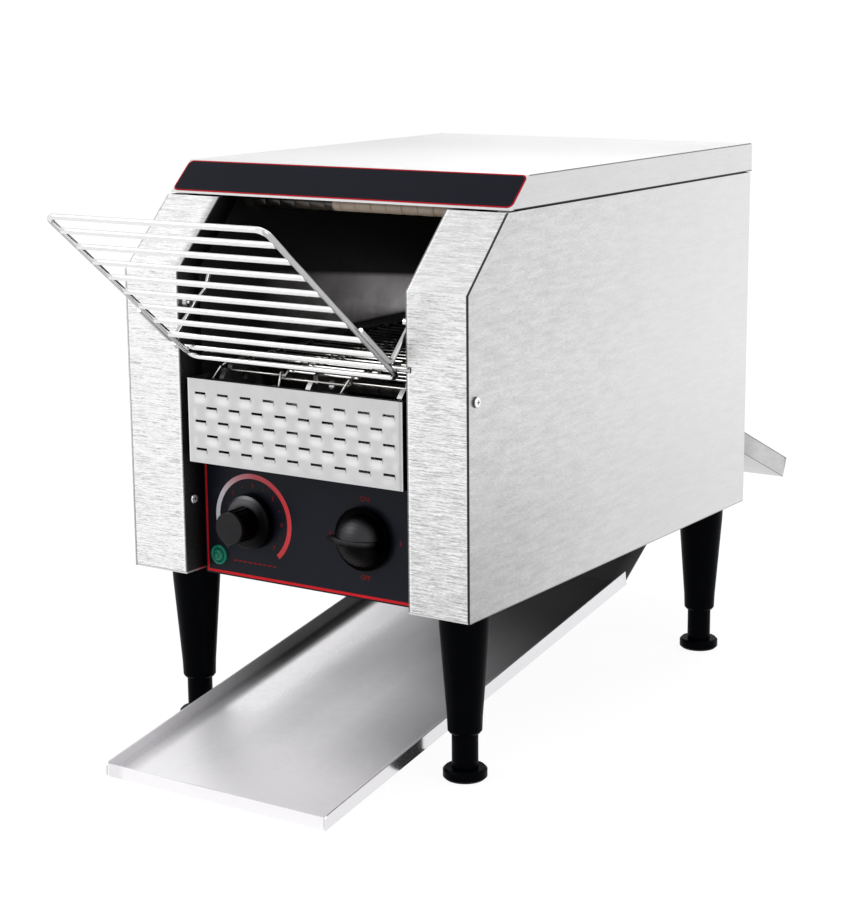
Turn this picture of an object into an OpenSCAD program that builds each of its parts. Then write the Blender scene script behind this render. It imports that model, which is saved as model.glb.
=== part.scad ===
// Counter-top conveyor toaster: sheet-metal body on four legs, a wire infeed rack at the front,
// a driven wire belt between heater tubes, a front tray below and a chute at the rear.
// Millimetres, +Z up, +X to the toaster's left-hand side as one faces its back, front towards -Y.

/* [Body] */
// Overall width of the body
body_w = 288; // [276:1:340]
// Depth of the body from the pillars to the rear panel
body_d = 415; // [405:1:470]
// Height of the body's underside above the table
clear_h = 122; // [112:1:150]
// Height of the side panels
side_h = 266.3; // [255:0.1:300]
// Height of the top cover's skirt
cover_h = 21.7; // [20:0.1:30]
// Height of the sloped part of the front
lean_h = 49.5; // [40:0.1:60]
// How far the sloped part leans back
lean_back = 49.9; // [40:0.1:60]
// How far the cover's fascia leans back
fascia_back = 23.3; // [18:0.1:32]
// Thickness of the steel sheet
sheet = 1.2; // [0.8:0.1:1.5]
// Outer radius of the side panels' rear edges
corner_r = 2.5; // [2:0.5:8]
// Height of the seam between side panel and cover skirt
seam = 1; // [0.6:0.1:2]

/* [Front pillars] */
// Width of each front pillar
pillar_w = 48; // [44:1:60]
// Depth of the pillars' inner returns
return_d = 24; // [20:0.5:30]
// Gap between the pillar skin and the side panel's edge
edge_gap = 0.4; // [0.2:0.1:1]

/* [Front panels] */
// Setback of the control panel behind the pillars
panel_setback = 22; // [18:0.5:26]
// How far the control panel's lower edge hangs below the base pan
panel_drop = 3.2; // [0:0.2:4]
// Height of the control panel
panel_h = 82; // [76:1:90]
// Height of the louvred panel
louvre_h = 60; // [56:1:66]
// Gap beside the louvred panel
louvre_gap = 5; // [3:0.5:8]
// How far the louvred panel sits to the right of the middle
louvre_shift = 1.5; // [0:0.1:2]
// Length of one louvre slot
slot_l = 9.5; // [6:0.5:12]
// Height of one louvre slot
slot_h = 1.5; // [1.2:0.1:3]
// Sideways pitch of the louvre slots
slot_pitch = 20; // [16:1:24]
// Pitch of the slot rows
slot_row = 10; // [8:0.5:11]
// Number of slot rows
slot_rows = 5; // [3:1:5]

/* [Controls] */
// Height of the two knobs above the panel's lower edge
knob_up = 40.5; // [38:0.5:46]
// Distance of the speed knob from the middle
speed_x = 51.4; // [48:0.1:60]
// Distance of the function knob from the middle
function_x = 45.5; // [40:0.1:56]
// Radius of the speed knob's skirt
skirt_r = 20; // [18:0.5:22]
// Radius of the speed knob's fluted grip
grip_r = 11.5; // [9:0.5:13]
// How far the speed knob's cap stands out from the control panel
knob_reach = 28.4; // [22:0.2:30]
// Depth of the speed knob's skirt
skirt_h = 5.2; // [4:0.2:7]
// Flutes round the speed knob's grip
flutes = 16; // [10:1:20]
// Radius of the function knob's base
dome_r = 22.5; // [19:0.5:24]
// Thickness of the function knob's grip blade
blade_w = 4.6; // [3:0.2:6]
// Radius of the knob spindles
spindle_r = 3; // [2.5:0.1:4]
// Distance of the power lamp from the inner wall
lamp_gap = 13; // [10:0.5:16]
// Height of the power lamp above the panel's lower edge
lamp_up = 11.5; // [10:0.5:16]
// Radius of the power lamp's bezel
lamp_r = 7.3; // [6:0.1:8]

/* [Legs] */
// Distance of the legs from the side panels
leg_inset = 27; // [22:1:32]
// Distance of the front legs behind the front
leg_front_y = 35.8; // [32:0.1:44]
// Distance of the rear legs from the back
leg_rear_inset = 23.4; // [17:0.1:40]
// Radius of the leg at its top
leg_top_r = 18.2; // [16:0.1:20]
// Radius of the leg at its lower end
leg_end_r = 12; // [11.5:0.1:14]
// Height of the leg's lower end above the table
leg_end_h = 33; // [24:1:40]
// Radius of the foot's stem
stem_r = 9.2; // [8:0.1:9.8]
// Radius of the foot's disc
disc_r = 15.4; // [13:0.1:18]
// Thickness of the foot's disc
disc_h = 8; // [6:0.5:10]
// How far the foot can be screwed in
foot_travel = 22; // [15:1:23]

/* [Wire belt] */
// Height of the belt's shafts above the table
shaft_h = 248; // [244:1:256]
// Distance of the idler shaft behind the front
idler_y = 41.2; // [40:0.1:46]
// Pitch of the belt's wires
belt_pitch = 11.9; // [11.5:0.1:12.3]
// Teeth on a belt sprocket
belt_teeth = 12; // [12:1:12]
// Belt pitches between the two shafts
belt_run = 22; // [20:1:22]
// Radius of the belt's wire
belt_wire_r = 0.9; // [0.7:0.1:1.1]
// Half width of the belt
belt_half_w = 86; // [80:1:90]
// Half width of the belt's middle bay
belt_bay = 26; // [24:1:34]
// Radius of the two belt shafts
shaft_r = 5; // [4:0.5:6]

/* [Chain drive] */
// Pitch of the roller chain
chain_pitch = 6.35; // [6:0.05:6.6]
// Teeth of the motor's sprocket
motor_teeth = 12; // [11:1:14]
// Teeth of the shaft's sprocket
drive_teeth = 18; // [16:1:20]
// Links in the chain
chain_links = 50; // [48:2:52]
// Distance of the chain outside the inner wall
chain_out = 14; // [10:1:20]

/* [Heaters] */
// Radius of a heater tube
tube_r = 5; // [4:0.5:6]
// Distance of the first upper tube behind the front
upper_tube_y = 84; // [82:1:92]
// Height of the upper tubes above the table
upper_tube_h = 383; // [378:0.5:386]
// Spacing of the upper tubes
upper_tube_pitch = 72; // [60:1:80]
// Distance of the first lower tube behind the front
lower_tube_y = 110; // [100:1:120]
// Spacing of the lower tubes
lower_tube_pitch = 62; // [55:1:65]

/* [Infeed rack] */
// Slope of the rack
rack_angle = 38.4; // [34:0.1:44]
// Half width between the side wires' centres
rack_half_w = 87.75; // [84:0.05:88]
// Length of the side wires
rack_l = 177.7; // [150:0.1:195]
// Radius of the rack's wire
rack_wire_r = 2; // [1.5:0.1:2.2]
// Spacing of the cross wires
rack_pitch = 18.6; // [15:0.1:24]
// Cross wires between the top wire and the pivot wire
rack_wires = 8; // [5:1:8]
// Radius of the rack's corners
rack_corner_r = 7; // [5:0.5:14]
// Distance of the first cross wire from the rack's tip
rack_first = 16.5; // [12:0.5:24]
// Height of the pivot wire above the louvred panel
pivot_up = 22; // [20:0.1:26]
// Distance of the pivot wire behind the front
pivot_y = 0.5; // [0.5:0.1:3]

/* [Tray and chute] */
// Width of the front tray
tray_w = 188; // [170:1:190]
// Reach of the tray in front of the body
tray_reach = 95; // [60:1:140]
// Slope of the tray's floor
tray_slope = 0.17; // [0.15:0.01:0.19]
// Height of the tray's lips
tray_lip = 10; // [8:0.5:14]
// Distance of the tray's bend behind the front
tray_bend_y = 309; // [300:1:312]
// Slope of the tray's ramp
ramp_slope = 0.65; // [0.6:0.01:0.7]
// Thickness of the tray and chute sheet
plate = 1; // [0.8:0.1:1.2]
// Width of the rear chute
chute_w = 190; // [170:1:191]
// Slope of the rear chute in degrees
chute_angle = 23.75; // [20:0.25:26]
// Reach of the chute behind the body
chute_reach = 185; // [120:1:200]
// Height of the chute's side flanges
chute_flange = 17.5; // [14:0.5:22]

/* [Hidden] */
$fn = 48;

// Clearances
touch = 0.2;                       // between sheets that lie against each other
run_gap = 0.05;                    // radial, between a shaft and its bearing
clear_gap = 0.3;                   // between a moving piece and what it rests on
tiny = 0.01;                       // cutters run past a face by this much
weld = 0.05;                       // how far welded wires sink into each other

// Heights and depths of the body
z0 = clear_h;
z_top = z0 + side_h;
z_bend = z_top - lean_h;
z_cover = z_top + cover_h;
half_w = body_w / 2;
inner_x = half_w - pillar_w;       // outer face of the chamber's inner wall
leg_x = half_w - leg_inset;
lamp_x = inner_x - lamp_gap;
pan_top = z0 + sheet;
wall_foot = pan_top + touch;       // lower edge of what stands on the base pan
lean = lean_back / lean_h;

// Front panels
panel_y = panel_setback;
panel_z1 = z0 + panel_h + sheet;
louvre_z0 = panel_z1 + touch;
louvre_z1 = louvre_z0 + louvre_h;
louvre_x = inner_x - louvre_gap;
pivot_h = louvre_z1 + pivot_up;
knob_z = z0 + knob_up;
flange_d = 13;                     // depth of the front panels' folded flanges

// Rear of the body
rear_in = body_d - 2 * sheet;      // inner face of the rear panel
rear_flange = 20;                  // width of the side panels' rear returns
shield_y = 292;                    // rear face of the electrics compartment
shield_z = 214;                    // top of the heat shield
shield_y0 = panel_y + flange_d + touch;
baffle_y = body_d - 80;            // where the reflector ends and the rear baffle starts
drop_y0 = 296;                     // front edge of the opening that slices drop through
drop_y1 = body_d - 16;             // rear edge of that opening
drop_x = inner_x - 3;              // half width of that opening
wall_z1 = z_top + 17;              // top of the inner walls
pan_lip = 14;                      // height of the base pan's folded edges

// Belt geometry: all chords between neighbouring wires are one pitch long
belt_r = belt_pitch / (2 * sin(180 / belt_teeth));
drive_y = idler_y + belt_run * belt_pitch;
half_turn = belt_teeth / 2;
belt_wires = 2 * (belt_run + half_turn);
hook_gap = 0.3;
hook_in = belt_wire_r + hook_gap;
hook_out = hook_in + 2 * belt_wire_r;
hook_mid = hook_in + belt_wire_r;
hook_step = 3.2;                           // how far a hook lies beside the bend it starts from
bay_s = belt_pitch - hook_mid * cos(30);   // how far the middle bay runs ahead of the outer bays
bay_n = -hook_mid * sin(30);
sprocket_x = belt_half_w - 10;
bush_r = 9;

// Chain geometry
chain_x = -inner_x - chain_out;
motor_pr = chain_pitch * motor_teeth / (2 * PI);
drive_pr = chain_pitch * drive_teeth / (2 * PI);
chain_spare = chain_pitch * chain_links - PI * (motor_pr + drive_pr);
chain_dr = drive_pr - motor_pr;
motor_c = (chain_spare + sqrt(chain_spare * chain_spare - 8 * chain_dr * chain_dr)) / 4;
motor_z = 181;
motor_y = drive_y - sqrt(motor_c * motor_c - (shaft_h - motor_z) * (shaft_h - motor_z));

// Heaters
cap_r = 7;
lower_tube_h = shaft_h;
reflector_z = upper_tube_h + 14;

// Infeed rack: unit vector up its slope, and the point of its plane nearest the pivot wire
rack_up = [0, -cos(rack_angle), sin(rack_angle)];
rack_normal = [0, sin(rack_angle), cos(rack_angle)];
pivot = [0, pivot_y, pivot_h];
rack_drop = 2 * rack_wire_r - 0.4;         // pivot wire's distance above the side wires' plane
rack_foot = pivot - rack_drop * rack_normal - 6.9 * rack_up;
rack_tip = rack_foot + rack_l * rack_up;
arm_x = rack_half_w + 2 * rack_wire_r - weld;
arm_knee = rack_foot + 20 * rack_up;
arm_rest = [0, pivot_y + 11.5, pivot_h + 28.6];
arm_curl = arm_rest + [0, 12, 8.5];
arm_end = arm_curl + [0, 5, 11];
knuckle_r = rack_wire_r + 0.03;
stop_r = 2.2;
arm_run = (arm_rest - arm_knee) / norm(arm_rest - arm_knee);
stop_at = arm_knee + 0.93 * (arm_rest - arm_knee)
    + (stop_r + rack_wire_r + clear_gap) * [0, -arm_run[2], arm_run[1]];
notch_r = rack_wire_r + 0.1;

// Tray
tray_z = plate + clear_gap;                // top of the floor at the tray's front edge
bend_z = tray_z + tray_slope * (tray_bend_y + tray_reach);
ramp_z = z0 - 0.6;
ramp_y = tray_bend_y + (ramp_z - bend_z) / ramp_slope;
tab_z = pan_top + clear_gap + plate;

// Chute: its floor's underside passes just above the sill of the rear opening
chute_end_y = body_d + chute_reach;
chute_tan = tan(chute_angle);
chute_sill = 181.7;                          // top of the rear opening's sill
function chute_z(y) = chute_sill + clear_gap / cos(chute_angle) - (y - body_d + sheet) * chute_tan;
chute_y0 = shield_y + 39;
chute_l = (chute_end_y - chute_y0) / cos(chute_angle);
chute_clear = 22;                          // bare length at the inner end, under the hold-down pins
outlet_z1 = 262;
pin_y = chute_y0 + 7;
pin_r = 3;

// The model's origin is the middle of its overall depth
rack_front_y = rack_tip[1] - rack_wire_r;
chute_back_y = chute_end_y + chute_flange * sin(chute_angle);
mid_y = (rack_front_y + chute_back_y) / 2;

// ---------------------------------------------------------------- helpers

module place() { translate([0, -mid_y, 0]) children(); }

module along_x(x0, x1) {
    translate([x0, 0, 0]) rotate([90, 0, 90]) linear_extrude(x1 - x0) children();
}

module along_y(y0, y1) {
    translate([0, y1, 0]) rotate([90, 0, 0]) linear_extrude(y1 - y0) children();
}

module block(a, b) { translate(a) cube(b - a); }

module rod_x(x0, x1, y, z, r) { translate([x0, y, z]) rotate([0, 90, 0]) cylinder(h = x1 - x0, r = r); }

module rod_y(y0, y1, x, z, r) { translate([x, y1, z]) rotate([90, 0, 0]) cylinder(h = y1 - y0, r = r); }

module both_sides() {
    children();
    mirror([1, 0, 0]) children();
}

// A round wire from point a to point b
module wire(a, b, r) {
    d = b - a;
    translate(a) rotate([0, acos(d[2] / norm(d)), atan2(d[1], d[0])]) cylinder(h = norm(d), r = r);
}

// Outline of a bent sheet: the path is its outer face, and t is added to the path's left
function unit(v) = v / norm(v);
function left_of(v) = [-v[1], v[0]];
function offset_point(p, i, t) =
    i == 0 ? p[0] + t * left_of(unit(p[1] - p[0])) :
    i == len(p) - 1 ? p[i] + t * left_of(unit(p[i] - p[i - 1])) :
    let (a = left_of(unit(p[i] - p[i - 1])), b = left_of(unit(p[i + 1] - p[i])))
    p[i] + t * (a + b) / (1 + a * b);
function bent(p, t) = concat(p, [for (i = [len(p) - 1 : -1 : 0]) offset_point(p, i, t)]);

// Points of an arc about c in the plane of a profile
function arc(c, r, a0, a1, n) =
    [for (i = [0 : n]) let (a = a0 + (a1 - a0) * i / n) c + r * [cos(a), sin(a)]];

// Distance of the sloped front behind the pillars' plane at height z
function front_y(z) = max(0, (z - z_bend) * lean);

// ---------------------------------------------------------------- body shells

module base_pan() {
    color("silver") difference() {
        union() {
            translate([0, 0, z0]) linear_extrude(sheet) polygon([
                [-half_w + sheet, touch], [-inner_x, touch], [-inner_x, panel_y + sheet + touch],
                [inner_x, panel_y + sheet + touch], [inner_x, touch], [half_w - sheet, touch],
                [half_w - sheet, body_d - corner_r], [half_w - corner_r, rear_in],
                [-half_w + corner_r, rear_in], [-half_w + sheet, body_d - corner_r]]);
            both_sides()
                block([half_w - 2 * sheet, 30, z0], [half_w - sheet, body_d - corner_r, z0 + pan_lip]);
            block([-half_w + 8, rear_in - sheet, z0], [half_w - 8, rear_in, z0 + pan_lip]);
        }
        block([-drop_x, drop_y0, z0 - 1], [drop_x, drop_y1, z0 + 3]);
        for (x = [-leg_x, leg_x], y = [leg_front_y, body_d - leg_rear_inset])
            translate([x, y, z0 - 1]) cylinder(h = 4, r = stud_r + 0.3);
        for (i = [-3 : 3])
            translate([fan_x - 24, fan_y + 7 * i - 1.5, z0 - 1]) cube([48, 3, 4]);
    }
}

module side_panel() {
    top = z_top - seam;
    rear = body_d - corner_r;
    difference() {
        union() {
            along_x(half_w - sheet, half_w)
                polygon([[0, z0], [0, z_bend], [front_y(top), top], [rear, top], [rear, z0]]);
            translate([half_w - corner_r, rear, z0]) rotate_extrude(angle = 90)
                translate([corner_r - sheet, 0]) square([sheet, top - z0]);
            block([half_w - corner_r - rear_flange, body_d - sheet, z0], [half_w - corner_r, body_d, top]);
            block([half_w - 13, front_y(top) + 8, top - sheet], [half_w - sheet, rear - 8, top]);
        }
        rod_x(half_w - 2, half_w + 1, side_screw[0], side_screw[1], screw_r + 0.2);
        for (h = rear_screws) rod_y(body_d - 2, body_d + 1, rear_screw_x, z0 + h, screw_r + 0.2);
    }
}

module left_side_panel() { color("gainsboro") mirror([1, 0, 0]) side_panel(); }

module right_side_panel() { color("gainsboro") side_panel(); }

// A pillar: sloped skin, inner return beside the openings, and a return behind the side panel
module front_pillar() {
    top = z_top - seam;
    skin = [[front_y(top), top], [0, z_bend], [0, wall_foot]];
    module cheek(depth) polygon([[0, wall_foot], [0, z_bend], [front_y(top), top],
        [front_y(top) + depth, top], [depth, z_bend], [depth, wall_foot]]);
    difference() {
        union() {
            along_x(inner_x, half_w - sheet - edge_gap) polygon(bent(skin, sheet));
            along_x(inner_x, inner_x + sheet) cheek(return_d);
            along_x(half_w - 2 * sheet, half_w - sheet) difference() {
                cheek(14);
                polygon([[-1, 0], [-1, z_bend + 1], [front_y(top) + sheet, top + 3],
                    [front_y(top) + sheet, top], [sheet, z_bend], [sheet, 0]]);
            }
            block([inner_x, sheet, wall_foot], [half_w - 2 * sheet, 12, wall_foot + sheet]);
        }
        // open notch that the rack's pivot wire hooks into from the front
        rod_x(inner_x - 1, inner_x + 3.8, pivot_y, pivot_h, notch_r);
        block([inner_x - 1, -1, pivot_h - notch_r], [inner_x + 3.8, pivot_y, pivot_h + notch_r]);
        rod_x(inner_x - 1, inner_x + 3, stop_at[1], stop_at[2], stop_r + 0.1);
        rod_x(half_w - 3, half_w, side_screw[0], side_screw[1], screw_r + 0.2);
        rod_x(inner_x - 1, inner_x + 3, return_screw[0], return_screw[1], screw_r + 0.2);
    }
}

module left_front_pillar() { color("silver") mirror([1, 0, 0]) front_pillar(); }

module right_front_pillar() { color("silver") front_pillar(); }

module top_cover() {
    y0 = front_y(z_top) + 2.7;
    rim = 3;
    outline = concat(
        [[y0 + 9, z_top], [y0, z_top], [y0 + fascia_back - 1.2, z_cover - 1.1]],
        arc([y0 + fascia_back + 1.2, z_cover - rim], rim, 125, 90, 4),
        arc([body_d - rim, z_cover - rim], rim, 90, 0, 4),
        [[body_d, z_top]]);
    color("whitesmoke") union() {
        along_x(-half_w + sheet, half_w - sheet) polygon(bent(outline, -sheet));
        both_sides() {
            along_x(half_w - sheet, half_w) polygon(concat(
                [[y0, z_top], [y0 + fascia_back - 1.2, z_cover - 1.1]],
                arc([y0 + fascia_back + 1.2, z_cover - rim], rim, 125, 90, 4),
                arc([body_d - rim, z_cover - rim], rim, 90, 0, 4),
                [[body_d, z_top]]));
            block([half_w - 12, y0 + 10, z_top - seam], [half_w - sheet, body_d - 14, z_top - seam + sheet]);
            block([half_w - 2 * sheet, y0 + 10, z_top - seam], [half_w - sheet, body_d - 14, z_top + 3]);
        }
    }
}

module rear_panel() {
    vent_w = 3;
    color("silver") difference() {
        union() {
            block([-half_w + 8, rear_in, wall_foot], [half_w - 8, body_d - sheet, z_top - seam - touch]);
            block([-inner_x + 4, rear_in - 10, z_top - seam - touch - sheet],
                [inner_x - 4, rear_in, z_top - seam - touch]);
        }
        block([-inner_x + 0.5, rear_in - 1, chute_sill], [inner_x - 0.5, body_d, outlet_z1]);
        for (i = [-6 : 6])
            block([10 * i - vent_w / 2, rear_in - 1, z_top - 95], [10 * i + vent_w / 2, body_d, z_top - 47]);
        for (i = [-1 : 1])
            block([-gland_x + 5 * i - 1, rear_in - 1, z0 + 12], [-gland_x + 5 * i + 1, body_d, z0 + 46]);
        rod_y(rear_in - 1, body_d, gland_x, gland_z, gland_r + 0.1);
        for (x = [-rear_screw_x, rear_screw_x], h = rear_screws)
            rod_y(rear_in - 1, body_d, x, z0 + h, screw_r + 0.2);
    }
}

// ---------------------------------------------------------------- chamber

module inner_wall() {
    y_front = return_d + touch;
    rear = rear_in - touch;
    difference() {
        union() {
            along_x(inner_x, inner_x + sheet) polygon([[y_front, wall_foot], [y_front, z_bend],
                [y_front + front_y(wall_z1), wall_z1], [rear, wall_z1], [rear, z0 + pan_lip + touch],
                [rear - sheet, z0 + pan_lip + touch], [rear - sheet, wall_foot]]);
            block([inner_x, y_front + 40, wall_foot], [inner_x + 12, rear - sheet, wall_foot + sheet]);
            block([inner_x, rear - sheet, z0 + 50], [inner_x + 12, rear, z_top - 8]);
            // pins that hold the chute's inner end down
            rod_x(inner_x - 9, inner_x + tiny, pin_y, pin_z, pin_r);
        }
        for (y = [idler_y, drive_y])
            rod_x(inner_x - 1, inner_x + 3, y, shaft_h, bush_r);
        for (y = upper_tubes)
            rod_x(inner_x - 1, inner_x + 3, y, upper_tube_h, cap_r + 0.1);
        for (y = lower_tubes)
            rod_x(inner_x - 1, inner_x + 3, y, lower_tube_h, cap_r + 0.1);
    }
}

module left_inner_wall() {
    color("dimgray") mirror([1, 0, 0]) difference() {
        inner_wall();
        rod_x(inner_x - 1, inner_x + 3, motor_y, motor_z, 9);
    }
}

module right_inner_wall() { color("dimgray") inner_wall(); }

module upper_reflector() {
    color("lightgray") union() {
        along_x(-inner_x + touch, inner_x - touch) polygon(bent(
            [[74, reflector_z - 11], [84, reflector_z - 2], [96, reflector_z],
            [baffle_y - 2, reflector_z]], sheet));
        both_sides() block([inner_x - touch - sheet, 96, reflector_z - 6],
            [inner_x - touch, baffle_y - 2, reflector_z + tiny]);
    }
}

module rear_baffle() {
    r = 50;
    color("lightgray") along_x(-inner_x + touch, inner_x - touch) polygon(bent(concat(
        [[baffle_y - 2 + touch, reflector_z]], arc([baffle_y, reflector_z - r], r, 90, 0, 10),
        [[baffle_y + r, outlet_z1 + 8], [rear_in - touch, outlet_z1 + 2]]), sheet));
}

module heat_shield() {
    color("gray") along_x(-inner_x + touch, inner_x - touch) polygon(bent(
        [[shield_y0, shield_z - 8], [shield_y0, shield_z], [shield_y, shield_z],
        [shield_y, wall_foot]], -sheet));
}

module heaters(ys, z) {
    for (y = ys) rod_x(-inner_x + 4, inner_x - 4, y, z, tube_r);
}

module upper_heaters() { color("bisque") heaters(upper_tubes, upper_tube_h); }

module lower_heaters() { color("bisque") heaters(lower_tubes, lower_tube_h); }

module end_cap(y, z) {
    difference() {
        union() {
            rod_x(inner_x - 8, inner_x + 8, y, z, cap_r);
            rod_x(inner_x + sheet + 0.1, inner_x + 4, y, z, cap_r + 2);
        }
        rod_x(inner_x - 9, inner_x - 4, y, z, tube_r + 0.02);
        rod_x(inner_x - 5, inner_x + 9, y, z, 1.6);
    }
}

module heater_end_caps() {
    color("ivory") both_sides() {
        for (y = upper_tubes) end_cap(y, upper_tube_h);
        for (y = lower_tubes) end_cap(y, lower_tube_h);
    }
}

// ---------------------------------------------------------------- front panels

module louvre(x, z) {
    translate([x - slot_l / 2, 0, z]) rotate([90, 0, 90]) linear_extrude(slot_l)
        polygon([[0.2, -slot_h / 2 - 3.4], [-1, -slot_h / 2 - 0.6], [-1, -slot_h / 2], [0.2, -slot_h / 2]]);
}

module louvre_rows() {
    for (row = [0 : slot_rows - 1]) {
        n = row % 2 == 0 ? 4 : 3.5;
        z = louvre_z0 + louvre_h / 2 + slot_row * ((slot_rows - 1) / 2 - row);
        for (i = [-n : n]) translate([i * slot_pitch + louvre_shift, 0, z]) children();
    }
}

module louvre_panel() {
    color("gainsboro") difference() {
        union() {
            translate([louvre_shift, 0, 0]) {
                block([-louvre_x, 0, louvre_z0], [louvre_x, sheet, louvre_z1]);
                both_sides()
                    block([louvre_x - sheet, 0, louvre_z0], [louvre_x, panel_y + flange_d, louvre_z1]);
                block([-louvre_x, 0, louvre_z0], [louvre_x, panel_y + flange_d, louvre_z0 + sheet]);
                block([-louvre_x + 2, 0, louvre_z1 - sheet], [louvre_x - 2, 5, louvre_z1]);
            }
            louvre_rows() louvre(0, 0);
        }
        louvre_rows() translate([-slot_l / 2, -2, -slot_h / 2]) cube([slot_l, 5, slot_h]);
    }
}

module control_panel() {
    w = inner_x - clear_gap;
    color("midnightblue") difference() {
        union() {
            block([-w, panel_y, z0 - panel_drop], [w, panel_y + sheet, panel_z1]);
            block([-w, panel_y, panel_z1 - sheet], [w, panel_y + flange_d, panel_z1]);
            block([-w, panel_y, wall_foot], [w, panel_y + flange_d, wall_foot + sheet]);
            both_sides() block([w - sheet, panel_y, wall_foot], [w, panel_y + flange_d, panel_z1]);
        }
        rod_y(panel_y - 1, panel_y + 3, -speed_x, knob_z, bush_out_r + 0.1);
        rod_y(panel_y - 1, panel_y + 3, function_x, knob_z, bush_out_r + 0.1);
        rod_y(panel_y - 1, panel_y + 3, -lamp_x, z0 + lamp_up, lamp_r - 1.4);
    }
}

// ---------------------------------------------------------------- controls

bush_out_r = 4.8;
knob_back = panel_y - 2.5;                 // rear face of both knobs
spindle_y0 = panel_y - 16;

// A round body about the +Y axis, from profile points [radius, depth behind the front]
module turned(x, z) { translate([x, 0, z]) rotate([-90, 0, 0]) rotate_extrude() children(); }

module speed_knob() {
    cap_front = panel_y - knob_reach;
    skirt_y = knob_back - skirt_h;
    color("black") translate([-speed_x, 0, knob_z]) rotate([-90, 0, 0]) difference() {
        rotate_extrude() polygon([[0, cap_front], [grip_r - 0.5, cap_front], [grip_r, cap_front + 0.5],
            [grip_r, cap_front + 2.6], [grip_r + 0.5, cap_front + 2.8], [grip_r + 0.7, skirt_y - 2.4],
            [skirt_r - 2.6, skirt_y - 1.4], [skirt_r - 0.6, skirt_y], [skirt_r, knob_back], [0, knob_back]]);
        for (i = [0 : flutes - 1]) rotate([0, 0, 360 * i / flutes])
            translate([grip_r + 1.3, 0, cap_front + 2.7]) cylinder(h = skirt_y - cap_front - 5.4, r = 1.5);
        translate([0, 0, spindle_y0]) cylinder(h = knob_back, r = spindle_r);
        translate([0, 0, knob_back - 3]) cylinder(h = 4, r = bush_out_r + 3);
    }
}

module function_knob() {
    front = 2;
    cap_r = dome_r - 2.5;
    color("black") translate([function_x, 0, knob_z]) rotate([-90, 0, 0]) difference() {
        union() {
            rotate_extrude() polygon(concat(arc([0, front + cap_r], cap_r, -90, -15, 10),
                [[dome_r - 0.6, knob_back - 2.6], [dome_r, knob_back - 2], [dome_r, knob_back],
                [0, knob_back]]));
            // grip blade across the dome, with its pointed end
            intersection() {
                rotate([90, 0, 0]) translate([0, 0, -blade_w / 2]) linear_extrude(blade_w) polygon([
                    [-dome_r - 3, 13], [-dome_r - 2, 10.5], [-16, 6.2], [-8, 2.4], [0, 1], [8, 1.6],
                    [14, 4], [18, 8.6], [19, knob_back - 2], [-dome_r, knob_back - 2]]);
                linear_extrude(knob_back) polygon([[-dome_r - 3, 0.4], [-dome_r - 3, -0.4],
                    [-18.5, -blade_w / 2], [20, -blade_w / 2], [20, blade_w / 2], [-18.5, blade_w / 2]]);
            }
        }
        translate([0, 0, spindle_y0]) cylinder(h = knob_back, r = spindle_r);
        translate([0, 0, knob_back - 3]) cylinder(h = 4, r = bush_out_r + 3);
    }
}

module spindle(x) { rod_y(spindle_y0, panel_y + 12, x, knob_z, spindle_r); }

module speed_spindle() { color("silver") spindle(-speed_x); }

module function_spindle() { color("silver") spindle(function_x); }

// A panel-mounted control: threaded bush through the panel, nut in front, body behind
module control_body(x, r, l) {
    difference() {
        union() {
            rod_y(panel_y - 2, panel_y + 8, x, knob_z, bush_out_r);
            rod_y(panel_y + sheet, panel_y + sheet + 3, x, knob_z, bush_out_r + 2.5);
            rod_y(panel_y + sheet + 3, panel_y + sheet + 3 + l, x, knob_z, r);
            rod_y(panel_y - 2, panel_y - touch, x, knob_z, bush_out_r + 2.2);
            for (i = [-1 : 1]) block([x + 7 * i - 2, panel_y + 8, knob_z - r - 7],
                [x + 7 * i + 2, panel_y + 9, knob_z - r / 2]);
        }
        rod_y(panel_y - 3, panel_y + 12.4, x, knob_z, spindle_r + run_gap);
    }
}

module speed_control() { color("slategray") control_body(-speed_x, 12, 9); }

module rotary_switch() { color("darkslategray") control_body(function_x, 18, 24); }

module power_lamp() {
    z = z0 + lamp_up;
    body_r = lamp_r - 1.6;
    color("green") translate([-lamp_x, 0, z]) rotate([-90, 0, 0]) rotate_extrude() polygon(concat(
        [[0, panel_y - 4.4]], arc([0, panel_y + 1.1], 5.5, -80, -25, 5),
        [[lamp_r - 1.3, panel_y - 2], [lamp_r, panel_y - 1.4], [lamp_r, panel_y],
        [body_r, panel_y], [body_r, panel_y + 20], [2, panel_y + 20], [2, panel_y + 26], [0, panel_y + 26]]));
}

// ---------------------------------------------------------------- legs and feet

stud_r = 4;
bore_top = leg_end_h + foot_travel + 32;

module leg(x, y) {
    color("black") translate([x, y, 0]) difference() {
        union() {
            rotate_extrude() polygon([[0, leg_end_h], [leg_end_r - 1.2, leg_end_h],
                [leg_end_r, leg_end_h + 1.6], [leg_end_r + 0.4, leg_end_h + 12],
                [leg_top_r - 0.9, z0 - 14], [leg_top_r - 0.4, z0 - 3],
                [leg_top_r, z0 - 2.6], [leg_top_r, z0], [0, z0]]);
            translate([0, 0, z0 - tiny]) cylinder(h = 13, r = stud_r);
        }
        translate([0, 0, leg_end_h - 1]) cylinder(h = bore_top - leg_end_h + 1, r = stem_r + run_gap);
    }
}

module foot(x, y) {
    color("black") translate([x, y, 0]) rotate_extrude() polygon([[0, 0], [disc_r - 1.6, 0], [disc_r, 1.6],
        [disc_r, disc_h - 1.5], [disc_r - 1.5, disc_h], [stem_r, disc_h],
        [stem_r, bore_top - foot_travel - 2],
        [stem_r - 1.2, bore_top - foot_travel - 1], [0, bore_top - foot_travel - 1]]);
}

front_leg_y = leg_front_y;
rear_leg_y = body_d - leg_rear_inset;

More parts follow.
